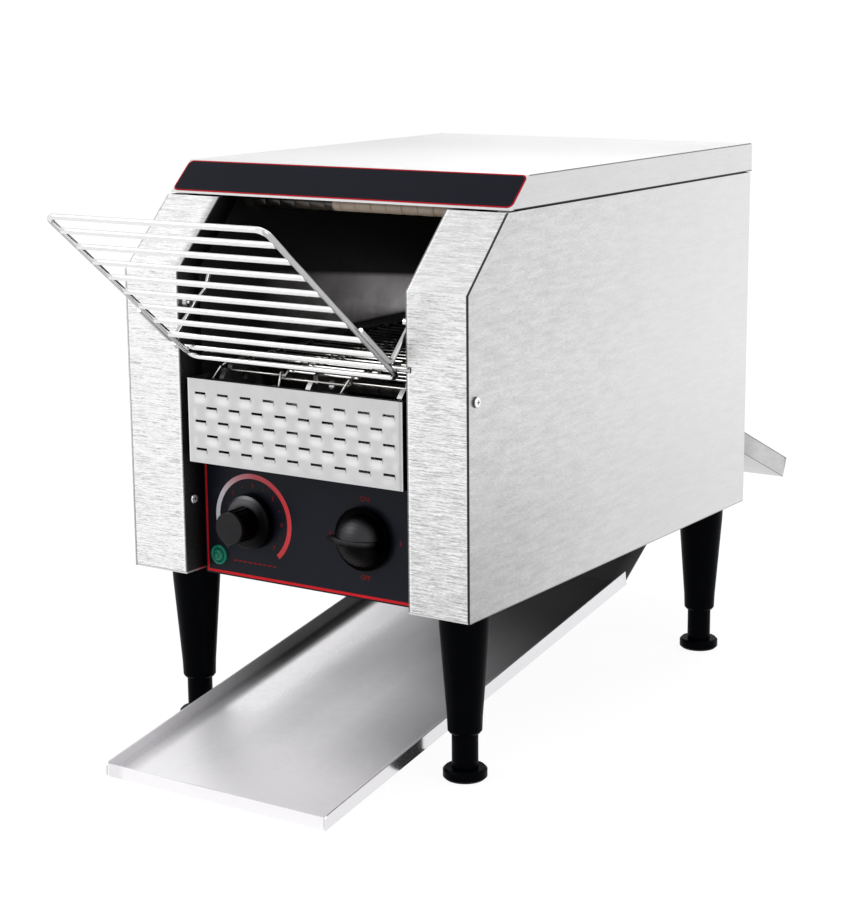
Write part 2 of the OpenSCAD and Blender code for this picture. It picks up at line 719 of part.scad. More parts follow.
module front_left_leg() { leg(-leg_x, front_leg_y); }
module front_right_leg() { leg(leg_x, front_leg_y); }
module rear_left_leg() { leg(-leg_x, rear_leg_y); }
module rear_right_leg() { leg(leg_x, rear_leg_y); }
module front_left_foot() { foot(-leg_x, front_leg_y); }
module front_right_foot() { foot(leg_x, front_leg_y); }
module rear_left_foot() { foot(-leg_x, rear_leg_y); }
module rear_right_foot() { foot(leg_x, rear_leg_y); }

module leg_nuts() {
    color("silver") for (x = [-leg_x, leg_x], y = [front_leg_y, rear_leg_y])
        translate([x, y, pan_top]) difference() {
            union() {
                cylinder(h = 1.6, r = 8.5);
                cylinder(h = 8, r = 7.5, $fn = 6);
            }
            translate([0, 0, -1]) cylinder(h = 12, r = stud_r);
        }
}

// ---------------------------------------------------------------- infeed rack

module rack_arm() {
    wire(rack_foot + 62 * rack_up, arm_knee, rack_wire_r);
    translate(arm_knee) sphere(knuckle_r);
    wire(arm_knee, arm_rest, rack_wire_r);
    translate(arm_rest) sphere(knuckle_r);
    wire(arm_rest, arm_curl, rack_wire_r);
    translate(arm_curl) sphere(knuckle_r);
    wire(arm_curl, arm_end, rack_wire_r);
}

// Quarter bend that joins a side wire to an end wire; turn is 0 at the tip and 1 at the foot
module rack_corner(at, turn) {
    translate(at) rotate([-rack_angle, 0, 0]) rotate([0, 0, turn == 0 ? -90 : 0])
        rotate_extrude(angle = 90) translate([rack_corner_r, 0]) circle(knuckle_r);
}

// Closed loop of wire that carries the cross wires
module infeed_rack() {
    in_x = rack_half_w - rack_corner_r;
    side = [rack_half_w, 0, 0] + (rack_corner_r - 0.4) * rack_up;
    color("white") union() {
        both_sides() {
            wire(rack_foot + side, rack_foot + side + (rack_l - 2 * rack_corner_r + 0.8) * rack_up,
                rack_wire_r);
            rack_corner(rack_tip - rack_corner_r * rack_up + [in_x, 0, 0], 0);
            rack_corner(rack_foot + rack_corner_r * rack_up + [in_x, 0, 0], 1);
        }
        for (end = [rack_tip, rack_foot])
            rod_x(-in_x - 0.4, in_x + 0.4, end[1], end[2], rack_wire_r);
    }
}

// Cross wires welded between the sides of the loop, and the pivot wire
module rack_cross_wires() {
    wire_end = rack_half_w - rack_wire_r + weld;
    color("white") {
        for (i = [0 : rack_wires - 1]) {
            at = rack_tip - (rack_first + i * rack_pitch) * rack_up;
            rod_x(-wire_end, wire_end, at[1], at[2], rack_wire_r);
        }
        rod_x(-inner_x - 3.4, inner_x + 3.4, pivot[1], pivot[2], rack_wire_r);
    }
}

// Bent arms welded along the sides of the loop; they come to rest against the stop screws
module rack_arms() {
    color("white") both_sides() translate([arm_x, 0, 0]) rack_arm();
}

module rack_stop_screws() {
    color("silver") both_sides() {
        rod_x(rack_half_w + rack_wire_r + clear_gap, inner_x + 6, stop_at[1], stop_at[2], stop_r);
        rod_x(inner_x - 1.4, inner_x, stop_at[1], stop_at[2], stop_r + 1.8);
        rod_x(inner_x + sheet, inner_x + 4.4, stop_at[1], stop_at[2], 4);
    }
}

// ---------------------------------------------------------------- wire belt

// Centre of belt wire k, in the plane across the shafts; the top run moves towards the rear
function belt_point(k) =
    k <= belt_run ? [idler_y + k * belt_pitch, shaft_h + belt_r] :
    k <= belt_run + half_turn ? let (a = 90 - (k - belt_run) * 360 / belt_teeth)
        [drive_y + belt_r * cos(a), shaft_h + belt_r * sin(a)] :
    k <= 2 * belt_run + half_turn ? [drive_y - (k - belt_run - half_turn) * belt_pitch, shaft_h - belt_r] :
    let (a = 270 - (k - 2 * belt_run - half_turn) * 360 / belt_teeth)
        [idler_y + belt_r * cos(a), shaft_h + belt_r * sin(a)];

// Ring round the next wire, open towards the top rear, in the plane across the wires
module hook_ring() {
    difference() {
        circle(hook_out);
        circle(hook_in);
        polygon([[0, 0], [-0.3, 2 * hook_out], [-2 * hook_out, 2 * hook_out],
            2 * hook_out * [cos(205), sin(205)]]);
    }
}

// Hook at x = from: the wire climbs forwards to x = to and closes round the next wire
module hook(from, to) {
    wire([from, 0, 0], [to, belt_pitch - 0.2, hook_mid], belt_wire_r - 0.06);
    translate([to - belt_wire_r, belt_pitch, 0]) along_x(0, 2 * belt_wire_r) hook_ring();
}

// One wire of the belt: outer bays, a middle bay that runs ahead, and a hook at each step and edge
module belt_wire() {
    both_sides() {
        rod_x(belt_bay - 0.7, belt_half_w + 0.7, 0, 0, belt_wire_r);
        hook(belt_bay, belt_bay + hook_step);
        hook(belt_half_w, belt_half_w - hook_step);
    }
    rod_x(-belt_bay - hook_step, belt_bay + hook_step, bay_s, bay_n, belt_wire_r - 0.03);
}

module conveyor_belt() {
    color("lightsteelblue") for (k = [0 : belt_wires - 1]) {
        a = belt_point(k);
        b = belt_point((k + 1) % belt_wires);
        translate([0, a[0], a[1]]) rotate([atan2(b[1] - a[1], b[0] - a[0]), 0, 0]) belt_wire();
    }
}

// Toothed wheel with a round-bottomed gap at each place where a wire or roller lies
module toothed(teeth, gap_r, seat_r, tip_r, phase) {
    gap_out = tip_r - gap_r;
    difference() {
        circle(tip_r);
        for (i = [0 : teeth - 1]) rotate(phase + 360 * i / teeth) {
            translate([gap_r, 0]) circle(seat_r);
            polygon([[gap_r, -seat_r], [gap_r, seat_r], [tip_r + 1, seat_r + 0.6 * gap_out + 0.6],
                [tip_r + 1, -seat_r - 0.6 * gap_out - 0.6]]);
        }
    }
}

// Where the middle bay's wires lie on a belt sprocket
bay_t = bay_s - belt_pitch / 2;
bay_h = belt_r * cos(180 / belt_teeth) + bay_n;
bay_gap_r = norm([bay_t, bay_h]);
bay_phase = -180 / belt_teeth - atan(bay_t / bay_h);

module belt_sprockets(y) {
    seat = belt_wire_r + 0.35;
    hub_r = shaft_r + 4;
    translate([0, y, shaft_h]) difference() {
        union() {
            for (x = [-sprocket_x, sprocket_x])
                along_x(x - 2, x + 2) toothed(belt_teeth, belt_r, seat, belt_r + 2.4, 0);
            along_x(-2, 2) toothed(belt_teeth, bay_gap_r, seat, belt_r + 2, bay_phase);
            for (x = [-sprocket_x, 0, sprocket_x]) rod_x(x - 7, x + 7, 0, 0, hub_r);
        }
        rod_x(-inner_x, inner_x, 0, 0, shaft_r);
        for (x = [-sprocket_x, 0, sprocket_x], i = [0 : 4])
            rotate([72 * i, 0, 0]) rod_x(x - 8, x + 8, 14.6, 0, 3.4);
    }
}

module drive_sprockets() { color("darkgray") belt_sprockets(drive_y); }

module idler_sprockets() { color("darkgray") belt_sprockets(idler_y); }

module drive_shaft() { color("silver") rod_x(chain_x - 8, inner_x + 9, drive_y, shaft_h, shaft_r); }

module idler_shaft() { color("silver") rod_x(-inner_x - 9, inner_x + 9, idler_y, shaft_h, shaft_r); }

module shaft_bearings() {
    color("goldenrod") both_sides() for (y = [idler_y, drive_y]) difference() {
        union() {
            rod_x(inner_x - 3, inner_x + 6, y, shaft_h, bush_r);
            rod_x(inner_x + sheet, inner_x + sheet + 2.5, y, shaft_h, bush_r + 4);
        }
        rod_x(inner_x - 4, inner_x + 8, y, shaft_h, shaft_r + run_gap);
    }
}

// ---------------------------------------------------------------- motor and chain

motor_shaft_r = 4;

module gear_motor() {
    color("dimgray") difference() {
        union() {
            rod_x(-inner_x + touch, -inner_x + 24, motor_y, motor_z, 29);
            rod_x(-inner_x + 24, -inner_x + 62, motor_y, motor_z, 25);
            rod_x(-inner_x + 62, -inner_x + 68, motor_y, motor_z, 8);
            block([-inner_x + 6, motor_y - 34, wall_foot], [-inner_x + 18, motor_y + 34, motor_z - 22]);
        }
        rod_x(-inner_x - 1, -inner_x + 40, motor_y, motor_z, motor_shaft_r + run_gap);
    }
}

module motor_shaft() { color("silver") rod_x(chain_x - 6, -inner_x + 39, motor_y, motor_z, motor_shaft_r); }

// The chain's path: straight, round the drive sprocket, straight back, round the motor sprocket
tan_angle = asin(chain_dr / motor_c);
centre_angle = atan2(shaft_h - motor_z, drive_y - motor_y);
span = motor_c * cos(tan_angle);
drive_wrap = 180 + 2 * tan_angle;
motor_wrap = 180 - 2 * tan_angle;
arc_drive = drive_pr * drive_wrap * PI / 180;
arc_motor = motor_pr * motor_wrap * PI / 180;
chain_step = (2 * span + arc_drive + arc_motor) / chain_links;
up_angle = centre_angle + 90 + tan_angle;      // where the upper strand leaves the motor sprocket

function on_circle(y, z, r, a) = [y + r * cos(a), z + r * sin(a)];
function chain_point(s) =
    s < span ? let (a = on_circle(motor_y, motor_z, motor_pr, up_angle),
        b = on_circle(drive_y, shaft_h, drive_pr, up_angle)) a + (b - a) * s / span :
    s < span + arc_drive ?
        on_circle(drive_y, shaft_h, drive_pr, up_angle - (s - span) / drive_pr * 180 / PI) :
    s < 2 * span + arc_drive ? let (t = (s - span - arc_drive) / span,
        a = on_circle(drive_y, shaft_h, drive_pr, up_angle - drive_wrap),
        b = on_circle(motor_y, motor_z, motor_pr, up_angle - drive_wrap)) a + (b - a) * t :
    on_circle(motor_y, motor_z, motor_pr,
        up_angle - drive_wrap - (s - 2 * span - arc_drive) / motor_pr * 180 / PI);

// Angle of the first roller on each sprocket, so that the teeth lie between the rollers
drive_first = ceil(span / chain_step) * chain_step;
drive_phase = up_angle - (drive_first - span) / drive_pr * 180 / PI;
motor_first = ceil((2 * span + arc_drive) / chain_step) * chain_step;
motor_phase = up_angle - drive_wrap - (motor_first - 2 * span - arc_drive) / motor_pr * 180 / PI;

roller_r = 1.65;

module chain_wheel(y, z, teeth, pr, phase, bore) {
    translate([0, y, z]) difference() {
        union() {
            along_x(chain_x - 1, chain_x + 1) toothed(teeth, pr, roller_r + 0.3, pr + 1.9, phase);
            rod_x(chain_x, chain_x + 7, 0, 0, bore + 3.5);
        }
        rod_x(chain_x - 9, chain_x + 9, 0, 0, bore);
    }
}

module motor_sprocket() {
    color("darkgray") chain_wheel(motor_y, motor_z, motor_teeth, motor_pr, motor_phase, motor_shaft_r);
}

module shaft_sprocket() {
    color("darkgray") chain_wheel(drive_y, shaft_h, drive_teeth, drive_pr, drive_phase, shaft_r);
}

module link_plate(a, b, x) {
    d = b - a;
    along_x(x, x + 0.7) union() {
        translate(a) circle(2.7);
        translate(b) circle(2.7);
        translate(a) rotate(atan2(d[1], d[0])) translate([0, -1.9]) square([norm(d), 3.8]);
    }
}

module drive_chain() {
    color("dimgray") for (k = [0 : chain_links - 1]) {
        a = chain_point(k * chain_step);
        b = chain_point(((k + 1) % chain_links) * chain_step);
        side = k % 2 == 0 ? 1.5 : 2.3;
        link_plate(a, b, chain_x + side);
        link_plate(a, b, chain_x - side - 0.7);
        rod_x(chain_x - 1.5 - tiny, chain_x + 1.5 + tiny, a[0], a[1], roller_r);
        rod_x(chain_x - 3.4, chain_x + 3.4, a[0], a[1], 0.9);
    }
}

// ---------------------------------------------------------------- electrics

fan_x = 40;
fan_y = 120;
fan_half = 30;
fan_h = 15;

module fan_frame() {
    color("black") translate([fan_x, fan_y, pan_top + 0.1]) difference() {
        union() {
            difference() {
                translate([-fan_half, -fan_half, 0]) cube([2 * fan_half, 2 * fan_half, fan_h]);
                translate([0, 0, -1]) cylinder(h = fan_h + 2, r = fan_half - 1.5);
            }
            for (a = [45, 165, 285]) rotate([0, 0, a]) translate([0, -1.5, 0]) cube([fan_half, 3, 2]);
            cylinder(h = 2, r = 11);
            cylinder(h = 4, r = 3.4);
        }
        for (x = [-24, 24], y = [-24, 24]) translate([x, y, -1]) cylinder(h = fan_h + 2, r = 2.1);
        translate([0, 0, -1]) cylinder(h = 6, r = 1.5);
    }
}

module fan_rotor() {
    color("dimgray") translate([fan_x, fan_y, pan_top + 0.1]) union() {
        difference() {
            translate([0, 0, 2.5]) cylinder(h = fan_h - 3, r = 11);
            translate([0, 0, 2]) cylinder(h = 3.5, r = 9);
        }
        translate([0, 0, 0.6]) cylinder(h = 6, r = 1.45);
        for (i = [0 : 6]) rotate([0, 0, 360 / 7 * i]) translate([10, 0, fan_h / 2 + 1]) rotate([40, 0, 0])
            translate([0, -7, -0.6]) cube([17, 14, 1.2]);
    }
}

module terminal_block() {
    x0 = inner_x + 14;
    y0 = rear_in - 96;
    color("ivory") difference() {
        block([x0, y0, pan_top + 0.1], [x0 + 22, y0 + 50, pan_top + 18]);
        for (i = [0 : 4]) {
            translate([x0 + 11, y0 + 5 + 10 * i, pan_top + 10]) cylinder(h = 10, r = 3);
            rod_x(x0 - 1, x0 + 23, y0 + 5 + 10 * i, pan_top + 6, 2);
        }
    }
}

gland_x = half_w - 36;
gland_z = 152;
gland_r = 6.5;

module cable_gland() {
    color("black") difference() {
        union() {
            rod_y(rear_in - 12, body_d + 4, gland_x, gland_z, gland_r);
            translate([gland_x, rear_in - touch, gland_z]) rotate([90, 0, 0])
                cylinder(h = 5, r = gland_r + 2.5, $fn = 6);
            translate([gland_x, body_d - sheet + touch, gland_z]) rotate([-90, 0, 0])
                cylinder(h = 5, r = gland_r + 2.5, $fn = 6);
            translate([gland_x, body_d + 3.9, gland_z]) rotate([-90, 0, 0]) rotate_extrude() polygon(concat(
                [[0, 0], [gland_r + 1.5, 0], [gland_r + 1.5, 4]],
                arc([gland_r - 3, 4], 4.5, 0, 70, 5), [[0, 8.3]]));
        }
        rod_y(rear_in - 13, body_d + 20, gland_x, gland_z, 3.6);
    }
}

screw_r = 2;
side_screw = [8.6, z_bend - 69.7];         // [distance behind the front, height] on the side panels
return_screw = [9.5, z0 + 53.7];           // on the pillars' inner returns
rear_screws = [30, 130, 230];              // heights of the rear screws above the underside
rear_screw_x = half_w - corner_r - rear_flange / 2;

// Pan-head screw along +X whose head sits on the face at x
module screw_x(x, y, z, l) {
    rod_x(x - l, x + 0.3, y, z, screw_r);
    translate([x, y, z]) rotate([0, 90, 0]) rotate_extrude() polygon(concat(
        [[0, 0], [3.7, 0], [3.7, 0.8]], arc([2.3, 0.8], 1.4, 0, 80, 4), [[0, 2.2]]));
}

module screw_rear(x, z) {
    translate([x, body_d, z]) rotate([0, 0, 90]) screw_x(0, 0, 0, 6);
}

module body_screws() {
    color("silver") {
        both_sides() {
            screw_x(half_w, side_screw[0], side_screw[1], 8);
            for (h = rear_screws) screw_rear(rear_screw_x, z0 + h);
        }
        translate([-inner_x, return_screw[0], return_screw[1]]) screw_x(0, 0, 0, 6);
    }
}

// ---------------------------------------------------------------- tray and chute

tray_half = tray_w / 2;
tab_w = 14;

function tray_line(y) = tray_z + tray_slope * (y + tray_reach);

module front_tray() {
    ramp_half = tray_half - 2;
    nose = 4;
    lip = [for (p = concat([[-tray_reach, tray_line(-tray_reach) - plate]],
        arc([-tray_reach + nose, tray_line(-tray_reach) + tray_lip - nose - 1], nose, 180, 100, 5),
        [[tray_bend_y - 2, tray_line(tray_bend_y) + tray_lip],
        [tray_bend_y - 0.5, tray_line(tray_bend_y) - plate]])) p];
    color("gainsboro") union() {
        along_x(-tray_half, tray_half) polygon(bent([[-tray_reach, tray_line(-tray_reach)],
            [tray_bend_y, bend_z]], -plate));
        both_sides() along_x(tray_half - plate, tray_half) polygon(lip);
        block([-tray_half + 1.5, -tray_reach, tray_z - plate],
            [tray_half - 1.5, -tray_reach + plate, tray_z + tray_lip - 2]);
        along_x(-ramp_half, ramp_half) polygon(bent([[tray_bend_y - 0.5, bend_z], [ramp_y, ramp_z]], -plate));
        for (x = [-60, 60]) along_x(x - tab_w / 2, x + tab_w / 2) polygon(bent([[ramp_y - 1, ramp_z - 0.65],
            [drop_y1 - 2.5, tab_z], [drop_y1 + 7, tab_z]], -plate));
    }
}

pin_z = chute_z(pin_y) + (plate + pin_r + clear_gap) / cos(chute_angle);

module rear_chute() {
    w = chute_w / 2;
    color("gainsboro") translate([0, chute_y0, chute_z(chute_y0)]) rotate([-chute_angle, 0, 0]) union() {
        block([-w, 0, 0], [w, chute_l, plate]);
        both_sides() along_x(w - plate, w) polygon([[chute_clear, 0], [chute_clear, chute_flange - 5],
            [chute_clear + 5, chute_flange], [chute_l, chute_flange], [chute_l, 0]]);
    }
}

upper_tubes = [for (i = [0 : 2]) upper_tube_y + i * upper_tube_pitch];
lower_tubes = [for (i = [0 : 2]) lower_tube_y + i * lower_tube_pitch];

place() base_pan();
place() left_side_panel();
place() right_side_panel();
place() left_front_pillar();
place() right_front_pillar();
place() top_cover();
place() rear_panel();
place() left_inner_wall();
place() right_inner_wall();
place() upper_reflector();
place() rear_baffle();
place() heat_shield();
place() louvre_panel();
place() control_panel();
place() speed_knob();
place() speed_spindle();
place() speed_control();
place() function_knob();
place() function_spindle();
place() rotary_switch();
place() power_lamp();
place() front_left_leg();
place() front_right_leg();
place() rear_left_leg();
place() rear_right_leg();
place() front_left_foot();
place() front_right_foot();
place() rear_left_foot();
place() rear_right_foot();
place() leg_nuts();
place() infeed_rack();
place() rack_cross_wires();
place() rack_arms();
place() rack_stop_screws();
place() conveyor_belt();
place() drive_shaft();
place() idler_shaft();
place() drive_sprockets();
place() idler_sprockets();
place() shaft_bearings();
place() gear_motor();
place() motor_shaft();
place() motor_sprocket();
place() shaft_sprocket();
place() drive_chain();
place() upper_heaters();
place() lower_heaters();
place() heater_end_caps();
place() fan_frame();
place() fan_rotor();
place() terminal_block();
place() cable_gland();
place() front_tray();
place() rear_chute();
place() body_screws();
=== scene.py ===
"""Looks of a counter-top conveyor toaster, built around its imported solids."""
import math

import bmesh
import bpy
from bpy.props import FloatProperty, FloatVectorProperty, IntProperty, PointerProperty
from bpy.types import Operator, Panel, PropertyGroup
from mathutils import Matrix, Vector


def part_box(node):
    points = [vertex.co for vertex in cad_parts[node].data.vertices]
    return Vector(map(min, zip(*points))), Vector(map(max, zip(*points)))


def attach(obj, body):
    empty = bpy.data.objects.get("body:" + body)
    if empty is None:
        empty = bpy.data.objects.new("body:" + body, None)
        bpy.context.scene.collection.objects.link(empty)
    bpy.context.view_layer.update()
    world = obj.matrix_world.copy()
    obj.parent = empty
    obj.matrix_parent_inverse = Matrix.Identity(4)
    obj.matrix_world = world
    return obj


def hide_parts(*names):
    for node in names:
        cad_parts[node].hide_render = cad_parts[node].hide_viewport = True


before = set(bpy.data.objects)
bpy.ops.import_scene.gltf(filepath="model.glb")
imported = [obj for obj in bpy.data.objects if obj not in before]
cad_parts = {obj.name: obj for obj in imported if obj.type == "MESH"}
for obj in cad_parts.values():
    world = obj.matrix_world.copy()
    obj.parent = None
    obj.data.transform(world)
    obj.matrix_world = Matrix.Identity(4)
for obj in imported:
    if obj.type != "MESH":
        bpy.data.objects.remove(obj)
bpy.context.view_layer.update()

bl_info = {
    "name": "Conveyor toaster looks",
    "version": (1, 0, 0),
    "blender": (4, 5, 0),
    "location": "View3D > Sidebar > Toaster",
    "description": "Dresses the packed solids of a conveyor toaster with detailed pieces and materials",
    "category": "Object",
}

MM = 0.001
FRONT_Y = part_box("left_front_pillar")[0].y
BLACK = (0.0, 0.0, 0.0)
BEND_Z, LEAN_BACK, LEAN_H = 338.8, 49.9, 49.5  # where the front leans back, how far, and over what height
LID_Z, COVER_Z = 388.3, 410.0                  # lower edge and top of the cover
CHUTE_SLOPE, RACK_SLOPE = math.radians(23.75), math.radians(38.4)
FUNCTION_X = 45.5                              # how far the function knob sits from the middle


def at(x, y, z):
    """Point of the toaster, from millimetres off its middle, behind its front and above the table."""
    return Vector((x * MM, FRONT_Y + y * MM, z * MM))


def y_at(depth):
    """Y of a depth behind the front, in millimetres."""
    return FRONT_Y + depth * MM


def z_at(height):
    """Z of a height above the table, in millimetres."""
    return height * MM


# ---------------------------------------------------------------- sizes and colours


def length_setting(name, description, default):
    """Setting for a length, with its default in millimetres."""
    return FloatProperty(name=name, description=description, default=default * MM, min=0.0, unit="LENGTH")


def colour_setting(name, description, *default):
    """Setting for a colour."""
    return FloatVectorProperty(name=name, description=description, subtype="COLOR", default=default, min=0.0,
                               max=1.0)


class ToasterSizes(PropertyGroup):
    """Sizes that a user would change."""

    label_border: length_setting("Label border", "Width of the line round the fascia label", 0.9)
    label_thickness: length_setting("Label thickness", "Thickness of printed labels", 0.25)
    rack_wire: length_setting("Rack wire", "Radius of the infeed rack's wire", 2.0)
    belt_wire: length_setting("Belt wire", "Radius of the belt's wire", 0.9)
    dial_radius: length_setting("Dial band radius", "Middle of the band round the speed knob", 32.0)
    dial_band: length_setting("Dial band width", "Width of the band round the speed knob", 3.6)
    figure_height: length_setting("Figure height", "Height of the dial's figures", 3.2)
    dial_figures: IntProperty(name="Dial figures", description="How many figures stand round the dial",
                              default=7, min=2, max=9)
    lens: FloatProperty(name="Focal length", description="Focal length of the camera in millimetres",
                        default=85.66, min=1.0)


class ToasterColours(PropertyGroup):
    """Colours that a user would change."""

    steel: colour_setting("Satin steel", "Colour of the satin panels", 0.8, 0.798, 0.805)
    brushed: colour_setting("Brushed steel", "Colour of the brushed front pillars", 0.96, 0.958, 0.965)
    chamber: colour_setting("Chamber steel", "Colour of the heat-tinted chamber", 0.2, 0.185, 0.18)
    panel: colour_setting("Panel", "Colour of the control panel and fascia label", 0.0075, 0.0085, 0.0145)
    red: colour_setting("Red print", "Colour of borders, marks and figures", 0.62, 0.012, 0.018)
    lamp: colour_setting("Lamp", "Colour of the power lamp's lens", 0.003, 0.14, 0.085)
    leg: colour_setting("Legs", "Colour of the legs and feet", 0.0005, 0.0007, 0.0015)
    tube: colour_setting("Heater tube", "Colour of the heater tubes", 0.62, 0.49, 0.38)
    floor: colour_setting("Floor", "Colour of the floor", 0.9, 0.9, 0.9)


# ---------------------------------------------------------------- shader helpers


def add_node(tree, kind, **inputs):
    """Adds a node; a key is an attribute of the node or an input, which a number or a socket feeds."""
    node = tree.nodes.new(kind)
    for key, value in inputs.items():
        if hasattr(node, key):
            setattr(node, key, value)
        elif isinstance(value, bpy.types.NodeSocket):
            tree.links.new(value, node.inputs[key.replace("_", " ")])
        else:
            node.inputs[key.replace("_", " ")].default_value = value
    return node


def new_material(name, colour, roughness, metallic=0.0, specular=0.5, coat=0.0):
    """Material with one Principled shader; returns the material, its tree and the shader."""
    material = bpy.data.materials.new(name)
    material.use_nodes = True
    tree = material.node_tree
    shader = tree.nodes["Principled BSDF"]
    for label, value in (("Base Color", (*colour, 1.0)), ("Roughness", roughness), ("Metallic", metallic),
                         ("Specular IOR Level", specular), ("Coat Weight", coat), ("Coat Roughness", 0.05)):
        shader.inputs[label].default_value = value
    return material, tree, shader


def maths(tree, operation, first, second=None, third=None):
    """Math node fed by numbers or sockets; returns its result."""
    node = add_node(tree, "ShaderNodeMath", operation=operation)
    for socket, value in zip(node.inputs, (first, second, third)):
        if isinstance(value, float):
            socket.default_value = value
        elif value is not None:
            tree.links.new(value, socket)
    return node.outputs["Value"]


def product(tree, *values):
    """Product of numbers and sockets."""
    result = values[0]
    for value in values[1:]:
        result = maths(tree, "MULTIPLY", result, value)
    return result


def scaled(tree, value, factor, plus):
    """A value times a factor, plus a third value."""
    return maths(tree, "MULTIPLY_ADD", value, factor, plus)


def minus(tree, value, less):
    """One value minus another."""
    return maths(tree, "SUBTRACT", value, less)


def unsigned(tree, value):
    """A value without its sign."""
    return maths(tree, "ABSOLUTE", value)


def between(tree, value, start, end, low=0.0, high=1.0, smooth=True):
    """Goes from low to high while a value goes from start to end."""
    node = add_node(tree, "ShaderNodeMapRange", interpolation_type="SMOOTHSTEP" if smooth else "LINEAR",
                    Value=value, From_Min=start, From_Max=end, To_Min=low, To_Max=high)
    return node.outputs["Result"]


def in_mm(tree, value, start, end, *levels, **options):
    """The same as between, with the start and the end in millimetres."""
    return between(tree, value, start * MM, end * MM, *levels, **options)


def inward(tree, y, start, end, *levels, **options):
    """The same as between, from one depth behind the front to another, in millimetres."""
    return between(tree, y, y_at(start), y_at(end), *levels, **options)


def square_reach(tree, u, v):
    """Square of the distance from the point where both values are 0."""
    return maths(tree, "ADD", product(tree, u, u), product(tree, v, v))


def apart(tree, value, place):
    """Distance of a value from a place, without its sign."""
    return unsigned(tree, minus(tree, value, place))


def axes(tree):
    """The three Object coordinates."""
    place = tree.nodes.new("ShaderNodeTexCoord")
    return add_node(tree, "ShaderNodeSeparateXYZ", Vector=place.outputs["Object"]).outputs[:]


def group_tree(name, inputs, outputs):
    """Shader node group with float, colour or vector sockets given as (name, type, default)."""
    tree = bpy.data.node_groups.new(name, "ShaderNodeTree")
    for label, kind, default in inputs:
        socket = tree.interface.new_socket(label, in_out="INPUT", socket_type=kind)
        if default is not None:
            socket.default_value = default
    for label, kind in outputs:
        tree.interface.new_socket(label, in_out="OUTPUT", socket_type=kind)
    return tree, tree.nodes.new("NodeGroupInput"), tree.nodes.new("NodeGroupOutput")


def grain_group():
    """Brushed grain: streaks that are long one way and fine the other, with cloudy patches."""
    if "Brushed grain" in bpy.data.node_groups:
        return bpy.data.node_groups["Brushed grain"]
    tree, source, sink = group_tree(
        "Brushed grain",
        [("Vector", "NodeSocketVector", None), ("Stretch", "NodeSocketVector", (40.0, 1500.0, 1500.0)),
         ("Patch Scale", "NodeSocketFloat", 9.0), ("Patch Share", "NodeSocketFloat", 0.3)],
        [("Streaks", "NodeSocketFloat"), ("Mix", "NodeSocketFloat")])
    stretch = add_node(tree, "ShaderNodeVectorMath", operation="MULTIPLY")
    tree.links.new(source.outputs["Vector"], stretch.inputs[0])
    tree.links.new(source.outputs["Stretch"], stretch.inputs[1])
    grain = stretch.outputs["Vector"]
    fine = add_node(tree, "ShaderNodeTexNoise", Vector=grain, Scale=1.0, Detail=3.0, Roughness=0.62)
    broad = add_node(tree, "ShaderNodeTexNoise", Vector=grain, Scale=0.21, Detail=2.0, Roughness=0.5)
    streaks = add_node(tree, "ShaderNodeMix", data_type="FLOAT", Factor=0.38, A=fine.outputs["Fac"],
                       B=broad.outputs["Fac"])
    spread = between(tree, streaks.outputs["Result"], 0.3, 0.7, smooth=False)
    patches = add_node(tree, "ShaderNodeTexNoise", Vector=source.outputs["Vector"],
                       Scale=source.outputs["Patch Scale"], Detail=3.0, Roughness=0.5)
    cloud = between(tree, patches.outputs["Fac"], 0.3, 0.7, smooth=False)
    both = add_node(tree, "ShaderNodeMix", data_type="FLOAT", Factor=source.outputs["Patch Share"], A=spread,
                    B=cloud)
    tree.links.new(spread, sink.inputs["Streaks"])
    tree.links.new(both.outputs["Result"], sink.inputs["Mix"])
    return tree


def wear_group():
    """Light wear: small specks and faint smears that change roughness and tone a little."""
    if "Light wear" in bpy.data.node_groups:
        return bpy.data.node_groups["Light wear"]
    tree, source, sink = group_tree(
        "Light wear",
        [("Vector", "NodeSocketVector", None), ("Smear Scale", "NodeSocketFloat", 30.0),
         ("Speck Scale", "NodeSocketFloat", 900.0)],
        [("Smears", "NodeSocketFloat"), ("Specks", "NodeSocketFloat")])
    place = source.outputs["Vector"]
    smear = add_node(tree, "ShaderNodeTexNoise", Vector=place, Scale=source.outputs["Smear Scale"],
                     Detail=4.0, Roughness=0.6, Distortion=0.6)
    speck = add_node(tree, "ShaderNodeTexNoise", Vector=place, Scale=source.outputs["Speck Scale"],
                     Detail=1.0, Roughness=0.5)
    tree.links.new(between(tree, smear.outputs["Fac"], 0.35, 0.75, smooth=False), sink.inputs["Smears"])
    tree.links.new(between(tree, speck.outputs["Fac"], 0.35, 0.65, smooth=False), sink.inputs["Specks"])
    return tree


def place_group(tree, group, **inputs):
    """Puts a node group in a material and feeds it Object coordinates."""
    place = tree.nodes.new("ShaderNodeTexCoord")
    return add_node(tree, "ShaderNodeGroup", node_tree=group, Vector=place.outputs["Object"], **inputs)


def two_tones(tree, shader, value, dark, light):
    """Mixes two colours by a value and feeds Base Color."""
    mix = add_node(tree, "ShaderNodeMix", data_type="RGBA", Factor=value, A=(*dark, 1.0), B=(*light, 1.0))
    tree.links.new(mix.outputs["Result"], shader.inputs["Base Color"])
    return mix


def rough_range(tree, shader, value, low, high):
    """Maps a value to a range of roughness."""
    tree.links.new(between(tree, value, 0.0, 1.0, low, high, smooth=False), shader.inputs["Roughness"])


def bump(tree, shader, value, strength, distance):
    """Feeds a value to the shader's Normal through a Bump node."""
    node = add_node(tree, "ShaderNodeBump", Height=value, Strength=strength, Distance=distance)
    tree.links.new(node.outputs["Normal"], shader.inputs["Normal"])


def toned(tree, shader, value, colour):
    """Feeds Base Color with a colour that is black at 0 and itself at 1."""
    two_tones(tree, shader, value, BLACK, colour)


